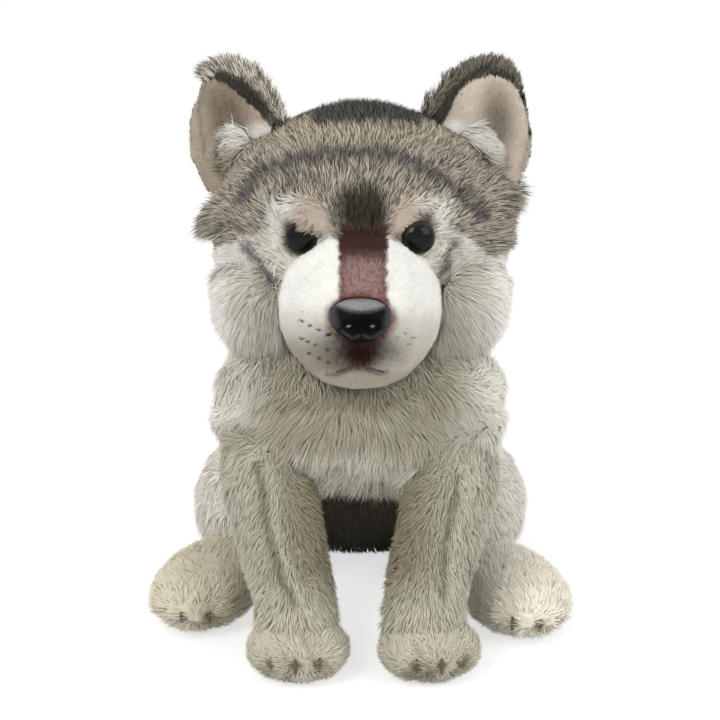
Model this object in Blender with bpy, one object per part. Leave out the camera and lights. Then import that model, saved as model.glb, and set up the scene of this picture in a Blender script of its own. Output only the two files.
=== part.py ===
"""Sitting plush wolf: filled pile-fabric pieces sewn edge to edge, with a moulded nose and eyes on washers.

Metres, +Z up. The wolf looks along -Y, and its left side is at +X.
"""

import math

import bmesh
import bpy
from mathutils import Matrix, Vector
from mathutils.bvhtree import BVHTree

SEAM = 0.0003

# Head: one filled ball, centre and full sizes.
HEAD_WIDTH = 0.146
HEAD_DEPTH = 0.120
HEAD_HEIGHT = 0.119
HEAD_CENTRE_Y = -0.024
HEAD_CENTRE_Z = 0.1965

# Muzzle: from its root inside the face to its rounded front.
MUZZLE_ROOT_WIDTH = 0.076
MUZZLE_ROOT_HEIGHT = 0.066
MUZZLE_MIDDLE_WIDTH = 0.073
MUZZLE_MIDDLE_HEIGHT = 0.070
MUZZLE_FRONT_WIDTH = 0.056
MUZZLE_FRONT_HEIGHT = 0.0520
MUZZLE_ROOT_Z = HEAD_CENTRE_Z - 0.0225
MUZZLE_MIDDLE_Z = HEAD_CENTRE_Z - 0.0255
MUZZLE_FRONT_Z = HEAD_CENTRE_Z - 0.0302
MUZZLE_MIDDLE_Y = -0.086
MUZZLE_FRONT_Y = -0.105
MUZZLE_ROUNDING = 0.013

# Cheek ruffs: a full pad low on each side of the head.
CHEEK_SPREAD = 0.040
CHEEK_Y = -0.044
CHEEK_Z = HEAD_CENTRE_Z - 0.0255
CHEEK_WIDTH = 0.059
CHEEK_DEPTH = 0.076
CHEEK_HEIGHT = 0.060

# Ears: an outer leaf with a lining in its hollow side and a tuft at the root.
EAR_SPREAD = 0.050
EAR_Y = -0.012
EAR_ROOT_Z = HEAD_CENTRE_Z + 0.0255
EAR_HEIGHT = 0.056
EAR_WIDTH = 0.064
EAR_THICKNESS = 0.011
EAR_CUP = 0.010
EAR_LEVELS = (-0.12, 0.10, 0.32, 0.53, 0.71, 0.85, 0.95, 0.99)
EAR_WIDEST_SHARE = 0.3
EAR_ROOT_NARROWING = 0.5
EAR_TIP_POWER = 2.4
EAR_EDGE_POWER = 0.55
EAR_SWEEP = 0.010
EAR_LINING_WIDTH = 0.055
EAR_LINING_HEIGHT = 0.049
EAR_LINING_OUTWARD = 0.0025
EAR_LINING_THICKNESS = 0.005
EAR_TUFT_WIDTH = 0.026
EAR_TUFT_HEIGHT = 0.030
EAR_TUFT_THICKNESS = 0.012
EAR_TILT_LEFT = 9.0
EAR_TILT_RIGHT = 9.0
EAR_TURN_LEFT = 4.0
EAR_TURN_RIGHT = 32.0

# Trunk: from the neck, leaning back and down to the seat.
NECK_Y = -0.012
NECK_Z = 0.152
NECK_WIDTH = 0.088
NECK_DEPTH = 0.076
SHOULDER_Y = -0.002
SHOULDER_Z = 0.122
SHOULDER_WIDTH = 0.118
SHOULDER_DEPTH = 0.092
LOIN_Y = 0.036
LOIN_Z = 0.076
LOIN_WIDTH = 0.120
LOIN_DEPTH = 0.094
HIP_Y = 0.064
HIP_Z = 0.036
HIP_WIDTH = 0.120
HIP_DEPTH = 0.088
SEAT_Y = 0.079
SEAT_WIDTH = 0.100
SEAT_DEPTH = 0.058

# Chest bib: a full pad over the front of the trunk.
BIB_WIDTH = 0.143
BIB_DEPTH = 0.094
BIB_HEIGHT = 0.082
BIB_Y = -0.042
BIB_Z = 0.118
BIB_FULLNESS = 2.4

# Forelegs: from inside the chest, forward and down to the paw.
FORELEG_TOP_SPREAD = 0.042
FORELEG_TOP_Y = -0.044
FORELEG_TOP_Z = 0.120
FORELEG_TOP_WIDTH = 0.050
FORELEG_TOP_ROUNDING = 0.012
FORELEG_WRIST_ROUNDING = 0.004
ELBOW_SPREAD = 0.044
ELBOW_Y = -0.068
ELBOW_Z = 0.084
ELBOW_WIDTH = 0.047
WRIST_SPREAD = 0.031
WRIST_Y = -0.093
WRIST_Z = 0.038
WRIST_WIDTH = 0.040

# Forepaws.
FOREPAW_SPREAD_LEFT = 0.032
FOREPAW_SPREAD_RIGHT = 0.029
FOREPAW_Y = -0.100
FOREPAW_WIDTH = 0.049
FOREPAW_LENGTH = 0.050
FOREPAW_HEIGHT = 0.029
FOREPAW_TURN_LEFT = 14.0
FOREPAW_TURN_RIGHT = 2.0

# Thighs and hind feet.
THIGH_SPREAD = 0.056
THIGH_Y = 0.034
THIGH_Z = 0.0360
THIGH_WIDTH = 0.069
THIGH_LENGTH = 0.094
THIGH_HEIGHT = 0.071
HIND_FOOT_SPREAD = 0.0755
HIND_TOES_AHEAD_LEFT = 0.070
HIND_TOES_AHEAD_RIGHT = 0.062
HIND_FOOT_WIDTH = 0.053
HIND_FOOT_LENGTH = 0.096
HIND_FOOT_HEIGHT = 0.033
HIND_FOOT_TURN = 15.0
HEEL_TAPER = 0.30
SOLE_TRIM = 0.0016

# Toes: grooves pulled into the front of each foot, each held by one stitch.
TOE_ANGLE = 28.0
TOE_GROOVE_DEPTH = 0.0026
TOE_GROOVE_WIDTH = 0.0060
STITCH_DIAMETER = 0.0014
STITCH_LENGTH = 0.0075
STITCH_HEIGHT = 0.0130
STITCH_PROUD = 0.15

# Tail: from the back of the trunk down to the floor and along it.
TAIL_ROOT_Z = 0.040
TAIL_ROOT_WIDTH = 0.030
TAIL_WIDTH = 0.044
TAIL_TIP_WIDTH = 0.028
TAIL_LENGTH = 0.082
TAIL_SWEEP = 0.020

# Eyes, with a shank through the face and a washer behind it.
EYE_SPREAD = 0.0265
EYE_Z = HEAD_CENTRE_Z + 0.0080
EYE_DIAMETER = 0.0156
EYE_DOME = 0.0052
EYE_RIM = 0.0010
EYE_SHANK_DIAMETER = 0.0040
EYE_SHANK_LENGTH = 0.0110
EYE_TURN = 13.0

# Nose, with a shank into the muzzle and a washer on it.
NOSE_WIDTH = 0.0270
NOSE_HEIGHT = 0.0190
NOSE_DEPTH = 0.0200
NOSE_PROUD = 0.0105
NOSE_Z = MUZZLE_FRONT_Z + 0.0104
NOSTRIL_SPREAD = 0.0066
NOSTRIL_DIAMETER = 0.0046
NOSE_SHANK_DIAMETER = 0.0050
NOSE_SHANK_LENGTH = 0.0120
NOSE_TOP_WIDENING = 0.16
NOSTRIL_SINK = 0.0008
NOSTRIL_DROP = 0.0004
NOSTRIL_TILT = 35
NOSTRIL_SLIMNESS = 0.62
NOSE_GROOVE_WIDTH = 0.0016
NOSE_GROOVE_DEPTH = 0.0040
NOSE_GROOVE_HEIGHT = 0.0070
NOSE_GROOVE_RISE = 0.0012
NOSE_GROOVE_SINK = 0.0010

WASHER_DIAMETER = 0.0130
WASHER_THICKNESS = 0.0016
WASHER_DEPTH = 0.0060

# Mouth: one thread laid in an arch over the front of the muzzle.
MOUTH_WIDTH = 0.021
MOUTH_TOP_Z = MUZZLE_FRONT_Z - 0.0120
MOUTH_DROP = 0.0040
MOUTH_THREAD_DIAMETER = 0.0012

FOOT_POWER = 2.25
ALONG_EACH_SPAN = 2
END_ANGLES = (30.0, 58.0, 81.0)
LEVELS = (-83.0, -63.0, -41.0, -14.0, 14.0, 41.0, 63.0, 83.0)


def material_of(name, colour, roughness=0.95):
    """A material with the colour of one of the fabrics, plastics or threads."""
    material = bpy.data.materials.new(name)
    material.use_nodes = True
    shader = material.node_tree.nodes["Principled BSDF"]
    shader.inputs["Base Color"].default_value = (*colour, 1.0)
    shader.inputs["Roughness"].default_value = roughness
    shader.inputs["Metallic"].default_value = 0.0
    return material


def superellipse(angle, power):
    """A point of the unit superellipse at this angle."""
    c, s = math.cos(angle), math.sin(angle)
    return (
        math.copysign(abs(c) ** (2.0 / power), c),
        math.copysign(abs(s) ** (2.0 / power), s),
    )


def smooth_sections(sections):
    """More sections between the given ones, on a Catmull-Rom curve through all their values."""
    values = [(*centre, half_side, half_depth) for centre, half_side, half_depth in sections]
    before = [2 * a - b for a, b in zip(values[0], values[1])]
    after = [2 * a - b for a, b in zip(values[-1], values[-2])]
    values = [before, *values, after]
    found = []
    for p0, p1, p2, p3 in zip(values, values[1:], values[2:], values[3:]):
        for step in range(ALONG_EACH_SPAN):
            t = step / ALONG_EACH_SPAN
            found.append([
                b + 0.5 * t * (c - a + t * (2 * a - 5 * b + 4 * c - d + t * (3 * b - a - 3 * c + d)))
                for a, b, c, d in zip(p0, p1, p2, p3)
            ])
    found.append(values[-2])
    return [(Vector(v[:3]), v[3], v[4]) for v in found]


def round_ends(sections, start, end):
    """The sections with a rounded cap of these lengths before the first and after the last."""
    first, second = sections[0], sections[1]
    last, before_last = sections[-1], sections[-2]
    back = (first[0] - second[0]).normalized()
    ahead = (last[0] - before_last[0]).normalized()
    caps = []
    for (centre, half_side, half_depth), direction, length in ((first, back, start), (last, ahead, end)):
        caps.append([
            (
                centre + direction * length * math.sin(math.radians(angle)),
                half_side * math.cos(math.radians(angle)),
                half_depth * math.cos(math.radians(angle)),
            )
            for angle in END_ANGLES
        ])
    return caps[0][::-1] + sections + caps[1]


def puff_sections(width, depth, height, fullness=2.0):
    """Level sections of a ball of these full sizes about the origin, squarer with more fullness."""
    sections = []
    for level in LEVELS:
        out, up = superellipse(math.radians(level), fullness)
        sections.append((Vector((0.0, 0.0, height / 2 * up)), width / 2 * out, depth / 2 * out))
    return sections


def loft(name, material, sections, segments, power=2.0, shape=None, place=None, on_floor=False):
    """One closed body through the sections, which lie square to the line through their centres."""
    bm = bmesh.new()
    rings = []
    for index, (centre, half_side, half_depth) in enumerate(sections):
        before = sections[max(index - 1, 0)][0]
        after = sections[min(index + 1, len(sections) - 1)][0]
        along = (after - before).normalized()
        side = (Vector((1.0, 0.0, 0.0)) - along * along.x).normalized()
        depth = along.cross(side)
        ring = []
        for step in range(segments):
            angle = 2 * math.pi * step / segments
            c, s = superellipse(angle, power)
            point = centre + side * (half_side * c) + depth * (half_depth * s)
            ring.append(bm.verts.new(shape(point, angle) if shape else point))
        rings.append(ring)
    for lower, upper in zip(rings, rings[1:]):
        for step in range(segments):
            following = (step + 1) % segments
            bm.faces.new((lower[step], lower[following], upper[following], upper[step]))
    bm.faces.new(rings[0])
    bm.faces.new(rings[-1])
    if place:
        bmesh.ops.transform(bm, matrix=place, verts=bm.verts)
    if on_floor:
        trim_to_floor(bm)
    return finish(name, material, bm)


def trim_to_floor(bm):
    """Cut the body off flat at Z = 0 and close the cut."""
    geometry = bm.verts[:] + bm.edges[:] + bm.faces[:]
    made = bmesh.ops.bisect_plane(
        bm, geom=geometry, dist=1e-6, plane_co=(0, 0, 0), plane_no=(0, 0, -1), clear_outer=True
    )
    edges = [item for item in made["geom_cut"] if isinstance(item, bmesh.types.BMEdge)]
    bmesh.ops.edgeloop_fill(bm, edges=edges)


def finish(name, material, bm):
    """The object of a finished body, with its faces outward and shaded smooth."""
    bmesh.ops.recalc_face_normals(bm, faces=bm.faces)
    bmesh.ops.triangulate(bm, faces=bm.faces)
    mesh = bpy.data.meshes.new(name)
    bm.to_mesh(mesh)
    bm.free()
    mesh.shade_smooth()
    mesh.set_sharp_from_angle(angle=math.radians(50))
    if material:
        mesh.materials.append(material)
    obj = bpy.data.objects.new(name, mesh)
    bpy.context.collection.objects.link(obj)
    return obj


def turned(name, material, profile, place, segments):
    """A body turned about its Z axis from a profile of (radius, height), and put in its place."""
    bm = bmesh.new()
    points = [bm.verts.new((radius, 0.0, height)) for radius, height in profile]
    edges = [bm.edges.new(pair) for pair in zip(points, points[1:])]
    if profile[0][0] > 0 or profile[-1][0] > 0:
        edges.append(bm.edges.new((points[-1], points[0])))
    bmesh.ops.spin(
        bm,
        geom=points + edges,
        cent=(0, 0, 0),
        axis=(0, 0, 1),
        angle=2 * math.pi,
        steps=segments,
        use_merge=True,
    )
    bmesh.ops.remove_doubles(bm, verts=bm.verts, dist=1e-6)
    bmesh.ops.transform(bm, matrix=place, verts=bm.verts)
    return finish(name, material, bm)


def thread(name, material, points, diameter):
    """A round thread along the points, with closed ends."""
    line = bpy.data.curves.new(name, "CURVE")
    line.dimensions = "3D"
    line.bevel_depth = diameter / 2
    line.bevel_resolution = 1
    line.use_fill_caps = True
    spline = line.splines.new("POLY")
    spline.points.add(len(points) - 1)
    for spot, point in zip(spline.points, points):
        spot.co = (*point, 1.0)
    if material:
        line.materials.append(material)
    obj = bpy.data.objects.new(name, line)
    bpy.context.collection.objects.link(obj)
    return obj


def as_cutter(obj):
    """Keep the object as a guide only."""
    obj.hide_render = True
    obj.display_type = "WIRE"
    return obj


def cut(target, cutter, operation="DIFFERENCE"):
    """Take the cutter from the target, or join it to the target."""
    boolean = target.modifiers.new(cutter.name, "BOOLEAN")
    boolean.operation = operation
    boolean.solver = "EXACT"
    boolean.object = cutter


def seam_copy(obj):
    """The object's uncut form, grown by the seam, kept once for all its neighbours."""
    name = f"{obj.name}_seam"
    if name not in bpy.data.objects:
        grown = bpy.data.objects.new(name, obj.data)
        bpy.context.collection.objects.link(grown)
        displace = grown.modifiers.new("Seam", "DISPLACE")
        displace.strength = SEAM
        displace.mid_level = 0.0
        as_cutter(grown)
    return bpy.data.objects[name]


def sew_against(target, *neighbours):
    """Stop the target at each neighbour's face, a seam away."""
    for neighbour in neighbours:
        cut(target, seam_copy(neighbour))


def surface_at(obj, start, direction):
    """Where a line from outside first meets the object's uncut form, with the face's normal."""
    mesh = obj.data
    tree = BVHTree.FromPolygons([v.co for v in mesh.vertices], [p.vertices for p in mesh.polygons])
    point, normal, _, _ = tree.ray_cast(Vector(start), Vector(direction).normalized())
    return point, normal


def side_name(side):
    """The wolf's own left is at +X."""
    return "left" if side > 0 else "right"


def make_head(fur):
    """The filled ball of the head."""
    place = Matrix.Translation((0.0, HEAD_CENTRE_Y, HEAD_CENTRE_Z))
    return loft("head", fur, puff_sections(HEAD_WIDTH, HEAD_DEPTH, HEAD_HEIGHT), 26, power=2.1, place=place)


def make_muzzle(velour, head):
    """The short-pile muzzle, sewn to the face."""
    root_y = HEAD_CENTRE_Y - HEAD_DEPTH / 4
    sections = smooth_sections([
        (Vector((0, root_y, MUZZLE_ROOT_Z)), MUZZLE_ROOT_WIDTH / 2, MUZZLE_ROOT_HEIGHT / 2),
        (Vector((0, MUZZLE_MIDDLE_Y, MUZZLE_MIDDLE_Z)), MUZZLE_MIDDLE_WIDTH / 2, MUZZLE_MIDDLE_HEIGHT / 2),
        (Vector((0, MUZZLE_FRONT_Y, MUZZLE_FRONT_Z)), MUZZLE_FRONT_WIDTH / 2, MUZZLE_FRONT_HEIGHT / 2),
    ])
    sections = round_ends(sections, MUZZLE_ROUNDING, MUZZLE_ROUNDING)
    muzzle = loft("muzzle", velour, sections, 19, power=2.15)
    sew_against(muzzle, head)
    return muzzle


def make_cheek(side, fur, head, muzzle):
    """The cheek ruff on one side, sewn to the head and along the muzzle."""
    place = Matrix.Translation((side * CHEEK_SPREAD, CHEEK_Y, CHEEK_Z))
    sections = puff_sections(CHEEK_WIDTH, CHEEK_DEPTH, CHEEK_HEIGHT)
    cheek = loft(f"cheek_{side_name(side)}", fur, sections, 16, place=place)
    sew_against(cheek, head, muzzle)
    return cheek


def ear_leaf(name, material, side, width, height, thickness, segments, place, forward=0.0, outward=0.0):
    """A rounded three-cornered leaf, hollow towards -Y, with its tip swept outward."""
    sections = []
    for share in EAR_LEVELS:
        root = 1.0 - EAR_ROOT_NARROWING * max(EAR_WIDEST_SHARE - share, 0.0)
        narrowing = root * (1.0 - max(share, 0.0) ** EAR_TIP_POWER) ** EAR_EDGE_POWER
        sideways = side * (EAR_SWEEP * share * abs(share) + outward)
        centre = Vector((sideways, -forward, height * share))
        sections.append((centre, width / 2 * narrowing, thickness / 2 * narrowing**0.5))

    def cupped(point, angle):
        point.y -= EAR_CUP * (2 * point.x / EAR_WIDTH) ** 2
        return point

    return loft(name, material, sections, segments, shape=cupped, place=place)


def make_ear(side, tilt, turn, fur, lining_pile, tuft_fur, head):
    """One ear: the outer leaf, its lining and the tuft at its root, all sewn into the head."""
    place = (
        Matrix.Translation((side * EAR_SPREAD, EAR_Y, EAR_ROOT_Z))
        @ Matrix.Rotation(side * math.radians(tilt), 4, "Y")
        @ Matrix.Rotation(side * math.radians(turn), 4, "Z")
    )
    name = side_name(side)
    outer = ear_leaf(f"ear_outer_{name}", fur, side, EAR_WIDTH, EAR_HEIGHT, EAR_THICKNESS, 18, place)
    forward = EAR_THICKNESS / 2
    lining = ear_leaf(
        f"ear_lining_{name}",
        lining_pile,
        side,
        EAR_LINING_WIDTH,
        EAR_LINING_HEIGHT,
        EAR_LINING_THICKNESS,
        14,
        place,
        forward,
        EAR_LINING_OUTWARD,
    )
    tuft_place = place @ Matrix.Translation((0.0, -forward - EAR_LINING_THICKNESS / 2, EAR_TUFT_HEIGHT / 3))
    tuft_sections = puff_sections(EAR_TUFT_WIDTH, EAR_TUFT_THICKNESS, EAR_TUFT_HEIGHT)
    tuft = loft(f"ear_tuft_{name}", tuft_fur, tuft_sections, 12, place=tuft_place)
    sew_against(outer, head)
    sew_against(lining, head, outer)
    sew_against(tuft, head, outer, lining)


def make_trunk(fur, *carriers):
    """The trunk, from the neck back and down to a flat seat."""
    sections = smooth_sections([
        (Vector((0, NECK_Y, NECK_Z)), NECK_WIDTH / 2, NECK_DEPTH / 2),
        (Vector((0, SHOULDER_Y, SHOULDER_Z)), SHOULDER_WIDTH / 2, SHOULDER_DEPTH / 2),
        (Vector((0, LOIN_Y, LOIN_Z)), LOIN_WIDTH / 2, LOIN_DEPTH / 2),
        (Vector((0, HIP_Y, HIP_Z)), HIP_WIDTH / 2, HIP_DEPTH / 2),
        (Vector((0, SEAT_Y, 0)), SEAT_WIDTH / 2, SEAT_DEPTH / 2),
    ])
    sections = round_ends(sections, NECK_DEPTH / 4, SEAT_DEPTH / 2)
    trunk = loft("torso", fur, sections, 22, power=2.1, on_floor=True)
    sew_against(trunk, *carriers)
    return trunk


def make_bib(fur, *carriers):
    """The long-pile chest pad."""
    place = Matrix.Translation((0.0, BIB_Y, BIB_Z))
    sections = puff_sections(BIB_WIDTH, BIB_DEPTH, BIB_HEIGHT, BIB_FULLNESS)
    bib = loft("chest_bib", fur, sections, 21, power=2.3, place=place)
    sew_against(bib, *carriers)
    return bib


def toe_shape(width, length):
    """A shaping of a foot that pulls three grooves into its front and narrows its heel."""

    def shaped(point, angle):
        pull = 0.0
        for groove in (-TOE_ANGLE, 0.0, TOE_ANGLE):
            away = width / 2 * (angle - math.radians(270 + groove))
            pull += math.exp(-((2 * away / TOE_GROOVE_WIDTH) ** 2))
        flat = Vector((point.x, point.y, 0.0))
        if flat.length > width / 4:
            point -= flat.normalized() * TOE_GROOVE_DEPTH * pull
        point.x *= 1.0 - HEEL_TAPER * max(2 * point.y / length, 0.0)
        return point

    return shaped


def foot_place(side, spread, y, height, turn):
    """Where a foot stands: turned outward, its middle half its height up, less the flat of its sole."""
    return Matrix.Translation((side * spread, y, height / 2 - SOLE_TRIM)) @ Matrix.Rotation(
        side * math.radians(turn), 4, "Z"
    )


def make_foot(name, fur, place, width, length, height):
    """A foot with four toes and a flat sole."""
    sections = puff_sections(width, length, height)
    shape = toe_shape(width, length)
    return loft(name, fur, sections, 30, power=FOOT_POWER, shape=shape, place=place, on_floor=True)


def add_toe_stitches(foot, cotton, place, width, length):
    """One short stitch down each toe groove, laid half into the pile."""
    for number, groove in enumerate((-TOE_ANGLE, 0.0, TOE_ANGLE), start=1):
        across, along = superellipse(math.radians(270 + groove), FOOT_POWER)
        heading = (place.to_3x3() @ Vector((width * across, length * along, 0.0))).normalized()
        start = place.translation + heading * length
        points = []
        for step in (-0.5, 0.0, 0.5):
            level = STITCH_HEIGHT + STITCH_LENGTH * step
            point, _ = surface_at(foot, (start.x, start.y, level), -heading)
            points.append(point + heading * (STITCH_PROUD * STITCH_DIAMETER))
        name = f"{foot.name}_stitch_{number}"
        thread(name, cotton, points, STITCH_DIAMETER)
        channel = thread(f"{name}_channel", None, points, STITCH_DIAMETER + 2 * SEAM)
        cut(foot, as_mesh(channel))


def as_mesh(curve):
    """A mesh guide with the shape of the curve, its ends a seam longer."""
    made = bpy.data.meshes.new_from_object(curve)
    bm = bmesh.new()
    bm.from_mesh(made)
    bmesh.ops.remove_doubles(bm, verts=bm.verts, dist=1e-6)
    name = curve.name
    bpy.data.objects.remove(curve)
    return as_cutter(finish(name, None, bm))


def make_foreleg(side, fur, paw, *carriers):
    """One foreleg, from inside the chest to its paw."""
    line = [
        (FORELEG_TOP_SPREAD, FORELEG_TOP_Y, FORELEG_TOP_Z, FORELEG_TOP_WIDTH),
        (ELBOW_SPREAD, ELBOW_Y, ELBOW_Z, ELBOW_WIDTH),
        (WRIST_SPREAD, WRIST_Y, WRIST_Z, WRIST_WIDTH),
        (WRIST_SPREAD, WRIST_Y, FOREPAW_HEIGHT / 2, WRIST_WIDTH),
    ]
    sections = smooth_sections([(Vector((side * x, y, z)), width / 2, width / 2) for x, y, z, width in line])
    rounded = round_ends(sections, FORELEG_TOP_ROUNDING, FORELEG_WRIST_ROUNDING)
    leg = loft(f"foreleg_{side_name(side)}", fur, rounded, 16)
    sew_against(leg, paw, *carriers)
    return leg


def make_thigh(side, fur, foot, trunk):
    """One thigh, sewn to the trunk and over the heel of its foot."""
    place = Matrix.Translation((side * THIGH_SPREAD, THIGH_Y, THIGH_Z))
    sections = puff_sections(THIGH_WIDTH, THIGH_LENGTH, THIGH_HEIGHT)
    thigh = loft(f"thigh_{side_name(side)}", fur, sections, 18, power=2.15, place=place)
    sew_against(thigh, trunk, foot)
    return thigh


def make_tail(fur, trunk):
    """The tail, from the back of the trunk down to the floor and out behind."""
    root, _ = surface_at(trunk, (0.0, 1.0, TAIL_ROOT_Z), (0.0, -1.0, 0.0))
    inside = root - Vector((0.0, TAIL_ROOT_WIDTH / 2, -TAIL_ROOT_WIDTH / 4))
    lie = TAIL_WIDTH / 2 - SOLE_TRIM
    tip = TAIL_TIP_WIDTH / 2
    sections = smooth_sections([
        (inside, TAIL_ROOT_WIDTH / 2, TAIL_ROOT_WIDTH / 2),
        (root + Vector((0.0, TAIL_LENGTH / 4, lie - TAIL_ROOT_Z)), TAIL_WIDTH / 2, TAIL_WIDTH / 2),
        (Vector((TAIL_SWEEP / 2, root.y + TAIL_LENGTH * 0.6, lie)), TAIL_WIDTH / 2, TAIL_WIDTH / 2),
        (Vector((TAIL_SWEEP, root.y + TAIL_LENGTH, tip)), tip, tip),
    ])
    tail = loft("tail", fur, round_ends(sections, tip, tip), 12, on_floor=True)
    sew_against(tail, trunk)


def add_washer(name, plastic, place, shank_diameter):
    """A washer round a shank, WASHER_DEPTH behind the seat."""
    outer, half = WASHER_DIAMETER / 2, WASHER_THICKNESS / 2
    inner = shank_diameter / 2 + SEAM
    profile = [(inner, -half), (outer, -half), (outer, half), (inner, half)]
    return turned(name, plastic, profile, place @ Matrix.Translation((0, 0, -WASHER_DEPTH)), 12)


def bore(name, place, seat_radius, seat_depth, shank_diameter, shank_length, reach):
    """The guide for a seat, a shank hole and a washer pocket, all a seam wider than what they hold."""
    outer, half = WASHER_DIAMETER / 2, WASHER_THICKNESS / 2
    hole = shank_diameter / 2 + SEAM
    profile = [
        (0.0, -shank_length - SEAM),
        (hole, -shank_length - SEAM),
        (hole, -WASHER_DEPTH - half - SEAM),
        (outer + SEAM, -WASHER_DEPTH - half - SEAM),
        (outer + SEAM, -WASHER_DEPTH + half + SEAM),
        (hole, -WASHER_DEPTH + half + SEAM),
        (hole, -seat_depth - SEAM),
        (seat_radius + SEAM, -seat_depth - SEAM),
        (seat_radius + SEAM, reach),
        (0.0, reach),
    ]
    return as_cutter(turned(name, None, profile, place, 12))


def make_eye(side, gloss, plastic, head, muzzle):
    """An eye seated in the face: a dome with a rim, a shank through the fabric and a washer behind it."""
    point, _ = surface_at(head, (side * EYE_SPREAD, -1.0, EYE_Z), (0.0, 1.0, 0.0))
    aim = Matrix.Rotation(side * math.radians(EYE_TURN), 4, "Z") @ Matrix.Rotation(math.radians(90), 4, "X")
    place = Matrix.Translation(point) @ aim
    radius = EYE_DIAMETER / 2
    shank = EYE_SHANK_DIAMETER / 2
    dome = [
        (radius * math.cos(math.radians(angle)), EYE_DOME * math.sin(math.radians(angle)))
        for angle in (0, 24, 48, 70)
    ]
    profile = [
        (0.0, -EYE_SHANK_LENGTH),
        (shank, -EYE_SHANK_LENGTH),
        (shank, -EYE_RIM),
        (radius, -EYE_RIM),
        *dome,
        (0.0, EYE_DOME),
    ]
    name = side_name(side)
    turned(f"eye_{name}", gloss, profile, place, 14)
    add_washer(f"eye_washer_{name}", plastic, place, EYE_SHANK_DIAMETER)
    hole = bore(f"eye_bore_{name}", place, radius, EYE_RIM, EYE_SHANK_DIAMETER, EYE_SHANK_LENGTH, EYE_DOME)
    cut(head, hole)
    cut(muzzle, hole)


def make_nose(gloss, plastic, muzzle):
    """The moulded nose, let into the front of the muzzle, with its shank and washer."""
    front, _ = surface_at(muzzle, (0.0, -1.0, NOSE_Z), (0.0, 1.0, 0.0))
    centre = Vector((0.0, front.y - NOSE_PROUD + NOSE_DEPTH / 2, NOSE_Z))

    def nose_shape(point, angle):
        point.x *= 1.0 + NOSE_TOP_WIDENING * (2 * point.z / NOSE_HEIGHT)
        return point

    sections = puff_sections(NOSE_WIDTH, NOSE_DEPTH, NOSE_HEIGHT)
    nose = loft("nose", gloss, sections, 20, power=2.3, shape=nose_shape, place=Matrix.Translation(centre))
    backward = Matrix.Translation(centre) @ Matrix.Rotation(math.radians(90), 4, "X")
    for side in (1, -1):
        nostril_y = front.y - NOSE_PROUD + NOSTRIL_SINK
        spot = Matrix.Translation((side * NOSTRIL_SPREAD, nostril_y, NOSE_Z - NOSTRIL_DROP))
        tilt = Matrix.Rotation(side * math.radians(NOSTRIL_TILT), 4, "Y")
        sections = puff_sections(NOSTRIL_DIAMETER, NOSTRIL_DIAMETER, NOSTRIL_DIAMETER * NOSTRIL_SLIMNESS)
        cut(nose, as_cutter(loft(f"nostril_{side_name(side)}", None, sections, 8, place=spot @ tilt)))
    groove = puff_sections(NOSE_GROOVE_WIDTH, NOSE_GROOVE_DEPTH, NOSE_GROOVE_HEIGHT)
    groove_z = NOSE_Z - NOSE_HEIGHT / 2 + NOSE_GROOVE_RISE
    groove_place = Matrix.Translation((0.0, front.y - NOSE_PROUD + NOSE_GROOVE_SINK, groove_z))
    cut(nose, as_cutter(loft("nose_groove", None, groove, 8, place=groove_place)))
    back = NOSE_DEPTH / 2
    shank = NOSE_SHANK_DIAMETER / 2
    stem = [(0.0, -back - NOSE_SHANK_LENGTH), (shank, -back - NOSE_SHANK_LENGTH), (shank, 0.0), (0.0, 0.0)]
    cut(nose, as_cutter(turned("nose_stem", None, stem, backward, 10)), "UNION")
    sew_against(muzzle, nose)
    seat = backward @ Matrix.Translation((0, 0, -back))
    add_washer("nose_washer", plastic, seat, NOSE_SHANK_DIAMETER)
    cut(muzzle, bore("nose_bore", seat, shank, 0.0, NOSE_SHANK_DIAMETER, NOSE_SHANK_LENGTH, back / 2))


def add_mouth(cotton, muzzle):
    """The mouth thread, in an arch under the nose."""
    points = []
    for step in range(-4, 5):
        x = MOUTH_WIDTH / 8 * step
        z = MOUTH_TOP_Z - MOUTH_DROP * (abs(step) / 4) ** 1.3
        point, _ = surface_at(muzzle, (x, -1.0, z), (0.0, 1.0, 0.0))
        points.append(point)
    thread("mouth_thread", cotton, points, MOUTH_THREAD_DIAMETER)
    cut(muzzle, as_mesh(thread("mouth_channel", None, points, MOUTH_THREAD_DIAMETER + 2 * SEAM)))


def centre_on_floor():
    """Stand the whole wolf on Z = 0 with the middle of its box at X = Y = 0."""
    root = bpy.data.objects.new("wolf", None)
    bpy.context.collection.objects.link(root)
    pieces = [obj for obj in bpy.data.objects if obj is not root]
    for obj in pieces:
        obj.parent = root
    bpy.context.view_layer.update()
    graph = bpy.context.evaluated_depsgraph_get()
    corners = []
    for obj in pieces:
        if not obj.hide_render:
            evaluated = obj.evaluated_get(graph)
            corners += [evaluated.matrix_world @ v.co for v in evaluated.to_mesh().vertices]
            evaluated.to_mesh_clear()
    low = [min(corner[axis] for corner in corners) for axis in range(3)]
    high = [max(corner[axis] for corner in corners) for axis in range(3)]
    root.location = (-(low[0] + high[0]) / 2, -(low[1] + high[1]) / 2, -low[2])


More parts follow.
